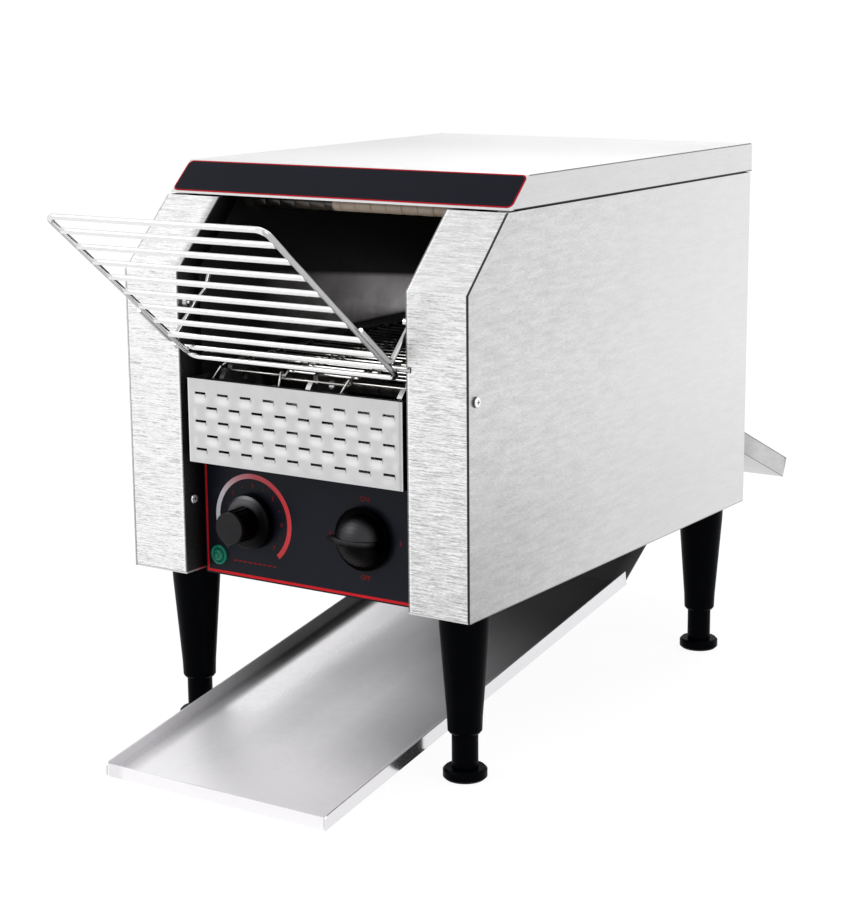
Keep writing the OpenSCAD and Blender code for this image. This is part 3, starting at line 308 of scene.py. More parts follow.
def add_grain(tree, shader, grain, low, high, relief):
    """Roughness and relief from brushed grain."""
    rough_range(tree, shader, grain.outputs["Mix"], low, high)
    bump(tree, shader, grain.outputs["Streaks"], relief, 0.05 * MM)


def add_wear(tree, shader, smear, speck, low, high, relief, distance=0.04 * MM):
    """Roughness and relief from light wear; returns its smears."""
    wear = place_group(tree, wear_group(), Smear_Scale=smear, Speck_Scale=speck)
    rough_range(tree, shader, wear.outputs["Smears"], low, high)
    bump(tree, shader, wear.outputs["Specks"], relief, distance)
    return wear.outputs["Smears"]


def behind_front(tree, y, z):
    """Depth behind the front's upright and sloped faces."""
    above = maths(tree, "MAXIMUM", minus(tree, z, z_at(BEND_Z)), 0.0)
    lean = product(tree, above, LEAN_BACK / LEAN_H)
    return minus(tree, minus(tree, y, FRONT_Y), lean)


def grained(tree, stretch, patch, share, spread):
    """Brushed grain as a factor round 1, with its streaks for relief and its mix."""
    grain = place_group(tree, grain_group(), Stretch=stretch, Patch_Scale=patch, Patch_Share=share)
    return scaled(tree, grain.outputs["Mix"], spread, 1.0 - spread / 2), grain


def side_material(colours):
    """Satin side with painted light and shade: paler towards the rear and the top, darker low at the front,
    with painted dark lines along its edges.
    """
    material, tree, shader = new_material("satin_steel", colours.steel, 0.36, metallic=1.0)
    x, y, z = axes(tree)
    # painted light and shade: paler towards the rear, darker low down near the front
    depth = inward(tree, y, 0, 400, 0.8, 0.985, smooth=False)
    low_part = in_mm(tree, z, 270, 130)
    near = inward(tree, y, 0, 200, 0.27, 0.1)
    shade = scaled(tree, product(tree, low_part, near), -1.0, 1.0)
    spread = inward(tree, y, 30, 330, 0.5, 0.14)
    grain = place_group(tree, grain_group(), Stretch=(1500.0, 260.0, 1500.0), Patch_Scale=9.0,
                        Patch_Share=0.06)
    fine = scaled(tree, minus(tree, grain.outputs["Mix"], 0.5), spread, 1.0)
    # painted shadow: dark lines along the right side's front edge at the pillar, along the foot and at the
    # rear edge
    front = maths(tree, "MAXIMUM", in_mm(tree, behind_front(tree, y, z), 0.35, 0.85, 0.06, 1.0),
                  in_mm(tree, x, -1, 1, 1.0, 0.0))
    foot = in_mm(tree, z, 122.3, 122.9, 0.5, 1.0)
    rear = inward(tree, y, 413.0, 414.2, 1.0, 0.6)
    toned(tree, shader, product(tree, depth, shade, fine, front, foot, rear), colours.steel)
    add_grain(tree, shader, grain, 0.32, 0.42, 0.1)
    return material


def lid_material(colours):
    """Satin lid with painted light and shade: paler to the rear, a darker flat top, a painted dark line
    along its folds and a painted shadow under its skirt.
    """
    material, tree, shader = new_material("lid_steel", colours.steel, 0.32, metallic=1.0)
    x, y, z = axes(tree)
    # painted light: paler towards the rear, with the flat top darkened
    depth = inward(tree, y, 50, 400, 0.85, 0.95, smooth=False)
    flat = product(tree, in_mm(tree, z, COVER_Z - 1.0, COVER_Z - 0.3), inward(tree, y, 70, 360))
    top = scaled(tree, flat, -0.3, 1.0)
    across = unsigned(tree, x)
    # painted reflection: a dark line along the folds between the top and the sides
    fold = product(tree, in_mm(tree, across, 143.1, 143.7), in_mm(tree, z, COVER_Z - 1.1, COVER_Z - 0.4))
    line = scaled(tree, fold, -0.72, 1.0)
    # painted shadow: a dark seam along the skirt's lower edge, and a dark band above it except at the front
    seam = in_mm(tree, z, LID_Z - 0.15, LID_Z, 0.01, 1.0)
    skirt = maths(tree, "MAXIMUM", in_mm(tree, z, LID_Z + 0.5, LID_Z + 0.9, 0.02, 1.0),
                  inward(tree, y, 54, 57, 1.0, 0.0))
    factor, grain = grained(tree, (1100.0, 190.0, 1100.0), 9.0, 0.3, 0.16)
    toned(tree, shader, product(tree, depth, top, line, seam, skirt, factor), colours.steel)
    add_grain(tree, shader, grain, 0.28, 0.36, 0.08)
    return material


def pillar_material(colours):
    """Brushed pillar: grain across it, with painted light and shade: paler on the left and above, darker on
    the slope, dark on its inner return, and painted highlights and dark lines along its folds.
    """
    material, tree, shader = new_material("pillar_steel", colours.brushed, 0.38, metallic=1.0)
    x, y, z = axes(tree)
    # painted light: paler on the left and higher up, and darker on the slope
    side = in_mm(tree, x, -130, 130, smooth=False)
    high = in_mm(tree, z, 130, 330, smooth=False)
    low_tone = scaled(tree, side, -0.2, 0.89)
    rise = scaled(tree, side, 0.11, 0.09)
    tone = scaled(tree, high, rise, low_tone)
    slope = in_mm(tree, z, BEND_Z - 0.6, BEND_Z + 0.8, 1.0, 0.72)
    back = behind_front(tree, y, z)
    # painted shade: the inner return behind the front skin is dark
    skin = in_mm(tree, back, 1.2, 1.5, 1.0, 0.0)
    inside = in_mm(tree, back, 1.5, 19, 0.26, 0.03, smooth=False)
    share = maths(tree, "MAXIMUM", skin, inside)
    across = unsigned(tree, x)
    # painted highlight on the outer fold, and a painted highlight with a dark line at the inner fold
    outer = in_mm(tree, across, 142.4, 142.9, 1.0, 1.25)
    inner = product(tree, in_mm(tree, across, 96.8, 97.1, 0.25, 1.0),
                    in_mm(tree, across, 97.9, 98.6, 1.2, 1.0))
    # painted shade along the foot
    foot = in_mm(tree, z, 123.2, 123.6, 0.15, 1.0)
    factor, grain = grained(tree, (300.0, 1200.0, 5200.0), 12.0, 0.03, 1.6)
    # painted shade in the recess beside the left pillar's slope
    deep = product(tree, in_mm(tree, x, -104, -96.5, 0.0, 0.5), in_mm(tree, x, -90, -80, 1.0, 0.0),
                   in_mm(tree, z, BEND_Z - 0.8, BEND_Z + 9.2))
    recess_shade = scaled(tree, deep, -1.0, 1.0)
    calm = in_mm(tree, z, BEND_Z - 0.6, BEND_Z + 0.8, 1.0, 0.55)
    fine = scaled(tree, minus(tree, factor, 1.0), calm, 1.0)
    shade = product(tree, tone, slope, share, outer, inner, foot, recess_shade, fine)
    toned(tree, shader, shade, colours.brushed)
    tree.links.new(in_mm(tree, back, 1.2, 1.5, 0.36, 0.62), shader.inputs["Roughness"])
    bump(tree, shader, grain.outputs["Streaks"], 0.25, 0.05 * MM)
    return material


def steel(name, colour, roughness, stretch, contrast, patch, share, relief):
    """Brushed or satin steel whose grain runs along the axis with the smallest stretch."""
    material, tree, shader = new_material(name, colour, roughness, metallic=1.0)
    grain = place_group(tree, grain_group(), Stretch=stretch, Patch_Scale=patch, Patch_Share=share)
    dark = tuple(c * (1.0 - contrast) for c in colour)
    light = tuple(min(1.0, c * (1.0 + contrast)) for c in colour)
    two_tones(tree, shader, grain.outputs["Mix"], dark, light)
    add_grain(tree, shader, grain, roughness - 0.05, roughness + 0.06, relief)
    return material


def worn(name, colour, roughness, metallic, specular, tone, relief, smear, speck):
    """Painted, moulded or turned surface with faint smears and a fine moulded relief."""
    material, tree, shader = new_material(name, colour, roughness, metallic, specular)
    smears = add_wear(tree, shader, smear, speck, max(0.02, roughness - 0.04), roughness + 0.06, relief)
    light = tuple(min(1.0, c * (1.0 + tone)) for c in colour)
    dark = tuple(c * (1.0 - tone) for c in colour)
    two_tones(tree, shader, smears, dark, light)
    return material


def dial_band_material(colours):
    """Printed band that fades from white through pink to red round the speed knob."""
    material, tree, shader = new_material("dial_band_print", colours.red, 0.4, specular=0.3)
    place = tree.nodes.new("ShaderNodeTexCoord")
    flat = add_node(tree, "ShaderNodeMapping", vector_type="TEXTURE", Vector=place.outputs["Object"],
                    Location=knob_centre(), Rotation=(math.radians(90), 0.0, 0.0))
    turn = add_node(tree, "ShaderNodeMapping", vector_type="POINT", Vector=flat.outputs["Vector"],
                    Rotation=(0.0, 0.0, math.radians(-90)))
    sweep = add_node(tree, "ShaderNodeTexGradient", gradient_type="RADIAL", Vector=turn.outputs["Vector"])
    ramp = add_node(tree, "ShaderNodeValToRGB", Fac=sweep.outputs["Fac"])
    stops = [(0.12, (0.6, 0.03, 0.04)), (0.4, (0.6, 0.04, 0.05)), (0.49, (0.6, 0.1, 0.12)),
             (0.58, (0.58, 0.28, 0.32)), (0.665, (0.68, 0.64, 0.68)), (0.75, (0.66, 0.68, 0.74)),
             (0.81, (0.12, 0.13, 0.15)), (0.86, (0.015, 0.016, 0.02))]
    for element, (position, colour) in zip(ramp.color_ramp.elements, (stops[0], stops[-1])):
        element.position = position
        element.color = (*colour, 1.0)
    for position, colour in stops[1:-1]:
        ramp.color_ramp.elements.new(position).color = (*colour, 1.0)
    tree.links.new(ramp.outputs["Color"], shader.inputs["Base Color"])
    add_wear(tree, shader, 60.0, 1500.0, 0.35, 0.48, 0.04, 0.03 * MM)
    return material


def knob_centre():
    """Middle of the speed knob, on the face of the control panel."""
    low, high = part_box("speed_knob")
    return Vector(((low.x + high.x) / 2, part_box("control_panel")[0].y, (low.z + high.z) / 2))


def lamp_material(colours):
    """Green lens with moulded rings round its middle."""
    material, tree, shader = new_material("lamp_lens", colours.lamp, 0.2, specular=0.15)
    low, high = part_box("power_lamp")
    x, _, z = axes(tree)
    across = minus(tree, x, (low.x + high.x) / 2)
    up = minus(tree, z, (low.z + high.z) / 2)
    reach = maths(tree, "SQRT", square_reach(tree, across, up))
    ring_rate = 2400.0  # radians of the wave for each metre
    wave = maths(tree, "SINE", product(tree, reach, ring_rate))
    rings = scaled(tree, wave, 0.5, 0.5)
    two_tones(tree, shader, rings, tuple(c * 0.75 for c in colours.lamp),
              tuple(min(1.0, c * 1.5 + 0.012) for c in colours.lamp))
    wear = place_group(tree, wear_group(), Smear_Scale=90.0, Speck_Scale=1600.0)
    rough_range(tree, shader, wear.outputs["Smears"], 0.12, 0.22)
    bump(tree, shader, rings, 0.25, 0.2 * MM)
    return material


def tube_material(colours):
    """Frosted heater tube with the coil's turns showing through it, darker towards its left end."""
    material, tree, shader = new_material("heater_quartz", colours.tube, 0.3, specular=0.5, coat=0.3)
    x = axes(tree)[0]
    coil_pitch = 3.2 * MM
    wave = maths(tree, "SINE", product(tree, x, 2 * math.pi / coil_pitch))
    turns = scaled(tree, wave, 0.22, 0.5)
    smears = add_wear(tree, shader, 70.0, 1200.0, 0.25, 0.4, 0.05)
    gap = [c * 0.7 for c in colours.tube]
    mix = two_tones(tree, shader, product(tree, turns, smears), colours.tube, gap)
    # darker, through brown to nearly black, towards the tube's left end
    left_darkening = scaled(tree, in_mm(tree, x, -20, -18), 0.9, in_mm(tree, x, -60, -46, 0.01, 0.1))
    left_darkened = add_node(tree, "ShaderNodeMix", data_type="RGBA", Factor=left_darkening, A=(0.004, 0.0035, 0.003, 1.0),
                       B=mix.outputs["Result"])
    tree.links.new(left_darkened.outputs["Result"], shader.inputs["Base Color"])
    return material


def tray_material():
    """Satin tray with painted light and shade: a painted highlight streak along its left side, painted
    reflections darker to the right, and painted shadow under the body.
    """
    material, tree, shader = new_material("tray_steel", (0.74, 0.73, 0.75), 0.4, metallic=0.45)
    x, y, _ = axes(tree)
    half = 94
    # painted reflections: tone across the tray near the front, from the ramp's stops
    ramp = tree.nodes.new("ShaderNodeValToRGB")
    stops = ((-half, 1.0), (-50, 1.0), (-43, 0.96), (-30, 0.82), (-15, 0.79), (0, 0.85), (20, 0.85),
             (40, 0.69), (60, 0.56), (80, 0.46), (half, 0.44))
    elements = ramp.color_ramp.elements
    for number, (place, tone) in enumerate(stops):
        position = (place + half) / (2 * half)
        element = elements.new(position) if number else elements[0]
        element.position = position
        element.color = (tone, tone, tone, 1.0)
    elements.remove(elements[-1])
    tree.links.new(in_mm(tree, x, -half, half, smooth=False), ramp.inputs["Fac"])
    share = inward(tree, y, -62, 35)
    cross = scaled(tree, share, minus(tree, ramp.outputs["Color"], 1.0), 1.0)
    # painted shade: a dark strip beside the left wall, and a painted highlight along the fold
    dark = inward(tree, y, -60, 105, 0.2, 0.93, smooth=False)
    strip = in_mm(tree, x, -83, -73, 1.0, 0.0)
    wall = in_mm(tree, x, -92.6, -92.2, 0.8, 1.0)
    left = scaled(tree, product(tree, strip, dark, wall), -1.0, 1.0)
    fold = in_mm(tree, apart(tree, x, -91.5 * MM), 0.3, 0.8, 0.1, 0.0)
    # painted shadow under the body
    under = product(tree, inward(tree, y, 75, 250), in_mm(tree, x, -35, 25))
    under_body_shadow = scaled(tree, under, -0.78, 1.0)
    factor, grain = grained(tree, (900.0, 900.0, 900.0), 26.0, 0.3, 0.14)
    # painted highlight along the front edge, and the right wall painted bright
    front = inward(tree, y, -93.6, -92.8, 1.1, 1.0)
    inside = maths(tree, "ADD", product(tree, cross, left, under_body_shadow, factor, front), fold)
    outside = in_mm(tree, x, 92.9, 93.3)
    tone = scaled(tree, outside, minus(tree, 0.8, inside), inside)
    # painted highlight: a bright streak along the left side, also made more metallic and smoother
    bright = product(tree, in_mm(tree, x, -83, -73), in_mm(tree, x, -55, -35, 1.0, 0.0),
                     inward(tree, y, -4, 34))
    shown = product(tree, tone, scaled(tree, bright, -0.1, 1.0))
    toned(tree, shader, shown, (0.99, 0.975, 1.0))
    mirror = scaled(tree, outside, 0.5, scaled(tree, bright, 0.5, 0.45))
    tree.links.new(mirror, shader.inputs["Metallic"])
    smooth = scaled(tree, bright, -0.17, 0.4)
    tree.links.new(scaled(tree, outside, -0.28, smooth), shader.inputs["Roughness"])
    bump(tree, shader, grain.outputs["Streaks"], 0.05, 0.03 * MM)
    return material


def screw_material():
    """Turned screws with painted shade: a dark cross and a dark rim on each head."""
    material, tree, shader = new_material("screw_steel", (0.75, 0.75, 0.76), 0.25, metallic=1.0)
    x, y, z = axes(tree)

    # painted shade in the cross recess and round the rim of each head
    def mark(u, v):
        bar, cross = (product(tree, in_mm(tree, a, 0.3, 0.5, 1.0, 0.0), in_mm(tree, b, 1.5, 1.8, 1.0, 0.0))
                      for a, b in ((u, v), (v, u)))
        rim = between(tree, square_reach(tree, u, v), (3.0 * MM) ** 2, (3.7 * MM) ** 2)
        return maths(tree, "MAXIMUM", maths(tree, "MAXIMUM", bar, cross), rim)

    across = unsigned(tree, x)
    outside = in_mm(tree, across, 143.0, 143.5)
    rear = inward(tree, y, 400, 401)
    side = mark(apart(tree, y, y_at(8.6)), apart(tree, z, z_at(269.1)))
    inner = mark(apart(tree, y, y_at(9.5)), apart(tree, z, z_at(175.7)))
    middle, top = (apart(tree, z, z_at(height)) for height in (252, 352))
    step = maths(tree, "MINIMUM", apart(tree, z, z_at(152)), maths(tree, "MINIMUM", middle, top))
    back = mark(apart(tree, across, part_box("body_screws")[1].x - 2.2 * MM - 12.5 * MM), step)
    low = scaled(tree, outside, minus(tree, side, inner), inner)
    dark = scaled(tree, rear, minus(tree, back, low), low)
    two_tones(tree, shader, dark, (0.97, 0.97, 0.98), (0.08, 0.08, 0.08))
    add_wear(tree, shader, 90.0, 1500.0, 0.18, 0.3, 0.04, 0.03 * MM)
    return material


def belt_material():
    """Belt wire with painted shade: dark below the line where it dips behind the front panel, and towards
    the rear.
    """
    material, tree, shader = new_material("belt_steel", (0.6, 0.585, 0.56), 0.22, metallic=1.0)
    _, y, z = axes(tree)
    # painted shade: dark below the front panel's line and towards the rear
    painted_belt_shade = product(tree, in_mm(tree, z, 259, 265, 0.05, 1.0), inward(tree, y, 90, 190, 1.0, 0.22))
    smears = add_wear(tree, shader, 60.0, 1300.0, 0.18, 0.3, 0.04)
    fine = scaled(tree, smears, 0.24, 0.88)
    toned(tree, shader, product(tree, painted_belt_shade, fine), (0.66, 0.645, 0.62))
    return material


def chute_material(colours):
    """Brushed chute: mottled walls with painted dark lines along their edges, a painted darker underside,
    and paler towards the far end.
    """
    material, tree, shader = new_material("chute_steel", colours.steel, 0.3, metallic=1.0)
    x, y, z = axes(tree)
    floor = at(0, 413.8, 181.7 + 0.3 / math.cos(CHUTE_SLOPE))
    lift = scaled(tree, minus(tree, y, floor.y), math.tan(CHUTE_SLOPE), minus(tree, z, floor.z))
    high = product(tree, lift, math.cos(CHUTE_SLOPE))
    wall = in_mm(tree, unsigned(tree, x), 94.6, 94.9)
    # painted reflection: dark lines along the top and bottom edges of the side walls
    edge = product(tree, in_mm(tree, high, 0.2, 0.9, 0.35, 1.0), in_mm(tree, high, 16.2, 17.0, 1.0, 0.4))
    lines = scaled(tree, wall, minus(tree, edge, 1.0), 1.0)
    # painted shade on the underside, painted light rising towards the far end, and a painted dark line at
    # the end
    below = in_mm(tree, high, -0.6, 0.1, 0.5, 0.68)
    far = inward(tree, y, 520, 600, 0.85, 1.08, smooth=False)
    end = inward(tree, y, 600.6, 602, 1.0, 0.75)
    factor, grain = grained(tree, (1100.0, 160.0, 1100.0), 30.0, 0.5, 0.5)
    toned(tree, shader, product(tree, lines, below, far, end, factor), colours.steel)
    add_grain(tree, shader, grain, 0.26, 0.4, 0.08)
    return material


def rack_material():
    """Plated wire, with painted shade darkening the rack's two sides and arms."""
    material, tree, shader = new_material("plated_wire", (0.8, 0.8, 0.8), 0.16, metallic=1.0)
    # painted shade on the side wires and arms
    side = in_mm(tree, unsigned(tree, axes(tree)[0]), 86.0, 86.8, 1.0, 0.6)
    smears = add_wear(tree, shader, 50.0, 1100.0, 0.13, 0.22, 0.03)
    fine = scaled(tree, smears, 0.1, 0.95)
    toned(tree, shader, product(tree, side, fine), (0.82, 0.82, 0.82))
    return material


def knob_material(name, light_and_shade):
    """Moulded knob whose painted light and shade a function works out from the three Object coordinates."""
    roughness = 0.42
    material, tree, shader = new_material(name, (0.03, 0.03, 0.032), roughness, metallic=1.0)
    tone = light_and_shade(tree, *axes(tree))
    smears = add_wear(tree, shader, 40.0, 1800.0, roughness - 0.04, roughness + 0.06, 0.05)
    fine = scaled(tree, smears, 0.2, 0.9)
    toned(tree, shader, product(tree, tone, fine), (1.0, 1.0, 1.06))
    return material


def speed_knob_light_and_shade(tree, x, y, z):
    """Painted light and shade: grey cap, nearly black grip, and a skirt painted lighter above and on the
    left and dark on its wall.
    """
    middle = knob_centre()
    cap = inward(tree, y, -4.2, -3.6, 0.026, 0.0015)
    # painted highlight: the skirt lighter above and on the left
    high = between(tree, z, middle.z - 6 * MM, middle.z + 19 * MM, 0.25, 3.4)
    aside = between(tree, x, middle.x + 1 * MM, middle.x + 15 * MM, 1.0, 0.08)
    skirt = product(tree, inward(tree, y, 11.6, 12.4, 0.0, 0.03), high, aside)
    # painted shade on the skirt's wall
    wall = inward(tree, y, 14.6, 15.4, 1.0, 0.2)
    return product(tree, maths(tree, "ADD", cap, skirt), wall)


def function_knob_light_and_shade(tree, x, y, z):
    """Painted light and shade: lighter upper half of the dome, and a nearly black lower half, rim and base.
    """
    low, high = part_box("function_knob")
    across = minus(tree, x, FUNCTION_X * MM)
    up = minus(tree, z, (low.z + high.z) / 2)
    # painted highlight on the upper half of the dome, painted shade on the lower half
    half = in_mm(tree, up, -1.5, 2.5, 0.004, 0.045)
    # painted shade on the rim and the base
    round_part = between(tree, square_reach(tree, across, up), (12.5 * MM) ** 2, (18.5 * MM) ** 2, 1.0, 0.06)
    base = inward(tree, y, 15.5, 16.5, 1.0, 0.3)
    return product(tree, half, round_part, base)


def louvre_material(colours):
    """Satin sheet pressed in under each slot, with a bump and painted highlights there, a painted bright
    rim, and painted shade at its fold and behind.
    """
    material, tree, shader = new_material("louvre_steel", colours.steel, 0.34, metallic=1.0)
    low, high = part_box("louvre_panel")
    x, y, z = axes(tree)
    middle = (low.x + high.x) / 2
    # rows are counted downwards, and every second row is shifted by half a pitch
    wide, tall, last_row, dent = 20.0, 10.0, 4.0, 0.44
    row = scaled(tree, z, -1 / (tall * MM), (low.z + high.z) / 2 / (tall * MM) + last_row / 2)
    cell = maths(tree, "ROUND", minus(tree, row, dent))
    near_row = maths(tree, "MINIMUM", maths(tree, "MAXIMUM", cell, 0.0), last_row)
    shift = scaled(tree, maths(tree, "PINGPONG", near_row, 1.0), 0.5, -middle / (wide * MM))
    column = scaled(tree, x, 1 / (wide * MM), shift)
    across = product(tree, minus(tree, column, maths(tree, "ROUND", column)), wide)
    below = scaled(tree, minus(tree, row, near_row), tall, -dent * tall)
    aside = apart(tree, x, middle)
    # painted highlight where the sheet is pressed in under each slot, fainter on the last row
    spot = product(tree, between(tree, unsigned(tree, across), 9.0, 1.0),
                   between(tree, unsigned(tree, below), 5.0, 0.5),
                   in_mm(tree, aside, 84, 88, 1.0, 0.0))
    factor, grain = grained(tree, (30.0, 1500.0, 1700.0), 70.0, 0.85, 0.1)
    last = between(tree, near_row, last_row - 0.6, last_row - 0.4, 1.0, 0.35)
    tone = product(tree, scaled(tree, product(tree, spot, last), 0.27, 0.76), factor)
    half = (high.x - low.x) / 2
    # painted highlight along the rim, painted shade on the fold and behind the front face
    rim = between(tree, aside, half - 1.4 * MM, half - 0.7 * MM, 1.0, 1.2)
    fold = between(tree, x, high.x - 3.2 * MM, high.x - 2.6 * MM, 1.0, 0.8)
    behind = inward(tree, y, 1.0, 1.6, 1.0, 0.12)
    toned(tree, shader, product(tree, tone, rim, fold, behind), colours.steel)
    rough_range(tree, shader, grain.outputs["Mix"], 0.3, 0.42)
    bump(tree, shader, spot, 0.2, 0.4 * MM)
    return material


def wall_material(colours):
    """Chamber wall with painted light and shade: nearly black above, and a painted paler lit band beside the
    belt that fades towards the front.
    """
    material, tree, shader = new_material("wall_steel", colours.chamber, 0.35, metallic=0.65)
    _, y, z = axes(tree)
    # painted light: a lit band beside the belt, fading towards the front and ending at its lower edge
    edge, slant = at(0, 157, 321), 0.125
    line = edge.z + slant * edge.y
    band = between(tree, scaled(tree, y, slant, z), line + 2.5 * MM, line - 2.5 * MM)
    deep = inward(tree, y, 95, 235, 0.02, 1.0, smooth=False)
    low_edge = in_mm(tree, z, 275.2, 277.8)
    smears = add_wear(tree, shader, 45.0, 500.0, 0.4, 0.55, 0.04, 0.05 * MM)
    cloud = between(tree, smears, 0.0, 1.0, 1.0, 0.8, smooth=False)
    shade = product(tree, band, deep, low_edge, cloud)
    two_tones(tree, shader, shade, (0.018, 0.016, 0.016), (1.0, 0.965, 0.965))
    return material


def worn_finishes(colours):
    """Name, colour, roughness, metallic, specular, tone, relief, smear and speck of the worn finishes."""
    return {
        "fascia": ("fascia_paint", colours.panel, 0.34, 0.0, 0.06, 0.12, 0.03, 14.0, 2200.0),
        "panel": ("panel_paint", colours.panel, 0.36, 0.0, 0.12, 0.12, 0.03, 14.0, 2200.0),
        "red": ("red_print", colours.red, 0.4, 0.0, 0.1, 0.08, 0.02, 60.0, 2500.0),
        "figures": ("figure_print", [c * 0.4 for c in colours.red], 0.45, 0.0, 0.1, 0.1, 0.02, 60.0, 900.0),
        "fascia_red": ("fascia_line", (0.5, 0.006, 0.014), 0.45, 0.0, 0.06, 0.08, 0.02, 60.0, 900.0),
        "leg": ("leg_plastic", colours.leg, 0.34, 0.0, 0.02, 0.2, 0.05, 24.0, 1400.0),
        "bright": ("turned_steel", (0.78, 0.78, 0.79), 0.2, 1.0, 0.5, 0.05, 0.03, 90.0, 1500.0),
        "sprocket": ("zinc_steel", (0.32, 0.32, 0.325), 0.32, 1.0, 0.5, 0.12, 0.08, 45.0, 1000.0),
        "chain": ("oiled_steel", (0.24, 0.235, 0.23), 0.3, 1.0, 0.5, 0.2, 0.06, 80.0, 900.0),
        "bronze": ("bearing_bronze", (0.52, 0.33, 0.16), 0.34, 1.0, 0.5, 0.12, 0.1, 60.0, 1400.0),
        "motor": ("motor_paint", (0.1, 0.105, 0.115), 0.42, 0.0, 0.4, 0.12, 0.1, 20.0, 700.0),
        "dark_tube": ("sheathed_tube", (0.02, 0.018, 0.017), 0.4, 0.0, 0.3, 0.2, 0.06, 30.0, 900.0),
        # painted shade: the heater end caps are ceramic given a nearly black colour
        "cap": ("shaded_ceramic", (0.012, 0.011, 0.01), 0.55, 0.0, 0.25, 0.15, 0.1, 30.0, 900.0),
        "ceramic": ("ceramic", (0.74, 0.7, 0.6), 0.5, 0.0, 0.4, 0.06, 0.1, 50.0, 900.0),
        "inner": ("inner_plastic", (0.012, 0.012, 0.013), 0.45, 0.0, 0.35, 0.2, 0.08, 40.0, 1000.0),
    }


def build_materials(colours):
    """All finishes by name."""
    along_x = (30.0, 1500.0, 1700.0)
    finishes = {
        "satin": side_material(colours),
        "lid": lid_material(colours),
        "pillar": pillar_material(colours),
        "louvre": louvre_material(colours),
        "tray": tray_material(),
        "screw": screw_material(),
        "speed_knob": knob_material("speed_knob_plastic", speed_knob_light_and_shade),
        "function_knob": knob_material("function_knob_plastic", function_knob_light_and_shade),
        "chute": chute_material(colours),
        "pan": steel("pan_steel", [c * 0.8 for c in colours.steel], 0.3, along_x, 0.05, 9.0, 0.4, 0.08),
        "chamber": steel("chamber_steel", colours.chamber, 0.2, along_x, 0.1, 22.0, 0.8, 0.03),
        "wall": wall_material(colours),
        "band": dial_band_material(colours),
        "lamp": lamp_material(colours),
        "rack": rack_material(),
        "belt": belt_material(),
        "tube": tube_material(colours),
    }
    for finish, row in worn_finishes(colours).items():
        finishes[finish] = worn(*row)
    return finishes


FINISH = {
    "satin": ("left_side_panel", "right_side_panel", "rear_panel"),
    "lid": ("top_cover",),
    "pillar": ("left_front_pillar", "right_front_pillar"),
    "louvre": ("louvre_panel",),
    "tray": ("front_tray",),
    "chute": ("rear_chute",),
    "pan": ("base_pan", "heat_shield"),
    "chamber": ("upper_reflector", "rear_baffle"),
    "wall": ("left_inner_wall", "right_inner_wall"),
    "panel": ("control_panel",),
    "speed_knob": ("speed_knob",),
    "function_knob": ("function_knob",),
    "lamp": ("power_lamp",),
    "leg": ("front_left_leg", "front_right_leg", "rear_left_leg", "rear_right_leg", "front_left_foot",
            "front_right_foot", "rear_left_foot", "rear_right_foot"),
    "rack": ("infeed_rack", "rack_cross_wires", "rack_arms"),
    "belt": ("conveyor_belt",),
    "screw": ("body_screws",),
    "bright": ("rack_stop_screws", "leg_nuts", "drive_shaft", "idler_shaft", "motor_shaft",
               "speed_spindle", "function_spindle"),
    "sprocket": ("drive_sprockets", "idler_sprockets", "motor_sprocket", "shaft_sprocket"),
    "chain": ("drive_chain",),
    "bronze": ("shaft_bearings",),
    "motor": ("gear_motor",),
    "tube": ("upper_heaters", "lower_heaters"),
    "cap": ("heater_end_caps",),
    "ceramic": ("terminal_block",),
    "inner": ("speed_control", "rotary_switch", "fan_frame", "fan_rotor", "cable_gland"),
}
MATERIALS = {}


# ---------------------------------------------------------------- mesh helpers


def soften(mesh_bm, limit=35.0):
    """Smooth faces, with edges kept sharp where they turn by more than limit degrees."""
    for face in mesh_bm.faces:
        face.smooth = True
    for edge in mesh_bm.edges:
        if len(edge.link_faces) == 2 and edge.calc_face_angle(0.0) > math.radians(limit):
            edge.smooth = False


def add_piece(name, mesh_bm, finishes, body, replaced=(), limit=35.0):
    """Makes an object from a bmesh, gives it its finishes and lets it ride on a body."""
    bmesh.ops.recalc_face_normals(mesh_bm, faces=mesh_bm.faces[:])
    soften(mesh_bm, limit)
    mesh = bpy.data.meshes.new(name)
    mesh_bm.to_mesh(mesh)
    mesh_bm.free()
    for finish in finishes:
        mesh.materials.append(MATERIALS[finish])
    piece = bpy.data.objects.new(name, mesh)
    bpy.context.scene.collection.objects.link(piece)
    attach(piece, body)
    if replaced:
        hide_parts(*replaced)


def meshed(curve):
    """Mesh of a curve or a text, which is removed."""
    holder = bpy.data.objects.new(curve.name, curve)
    bpy.context.scene.collection.objects.link(holder)
    bpy.context.view_layer.update()
    mesh = bpy.data.meshes.new_from_object(holder.evaluated_get(bpy.context.evaluated_depsgraph_get()))
    bpy.data.objects.remove(holder)
    bpy.data.curves.remove(curve)
    return mesh


def curve_mesh(splines, radius, sides=2, closed=False):
    """Mesh of round wires along lists of points."""
    curve = bpy.data.curves.new("wire", "CURVE")
    curve.dimensions = "3D"
    curve.bevel_depth = radius
    curve.bevel_resolution = sides
    curve.use_fill_caps = True
    for points in splines:
        spline = curve.splines.new("POLY")
        spline.points.add(len(points) - 1)
        for target, point in zip(spline.points, points):
            target.co = (*point, 1.0)
        spline.use_cyclic_u = closed
    return meshed(curve)


def add_mesh(mesh_bm, mesh, index=0):
    """Adds a mesh to a bmesh with one material index, or its own for None, and frees the mesh."""
    before = len(mesh_bm.faces)
    mesh_bm.from_mesh(mesh)
    if index is not None:
        mesh_bm.faces.ensure_lookup_table()
        for face in mesh_bm.faces[before:]:
            face.material_index = index
    bpy.data.meshes.remove(mesh)


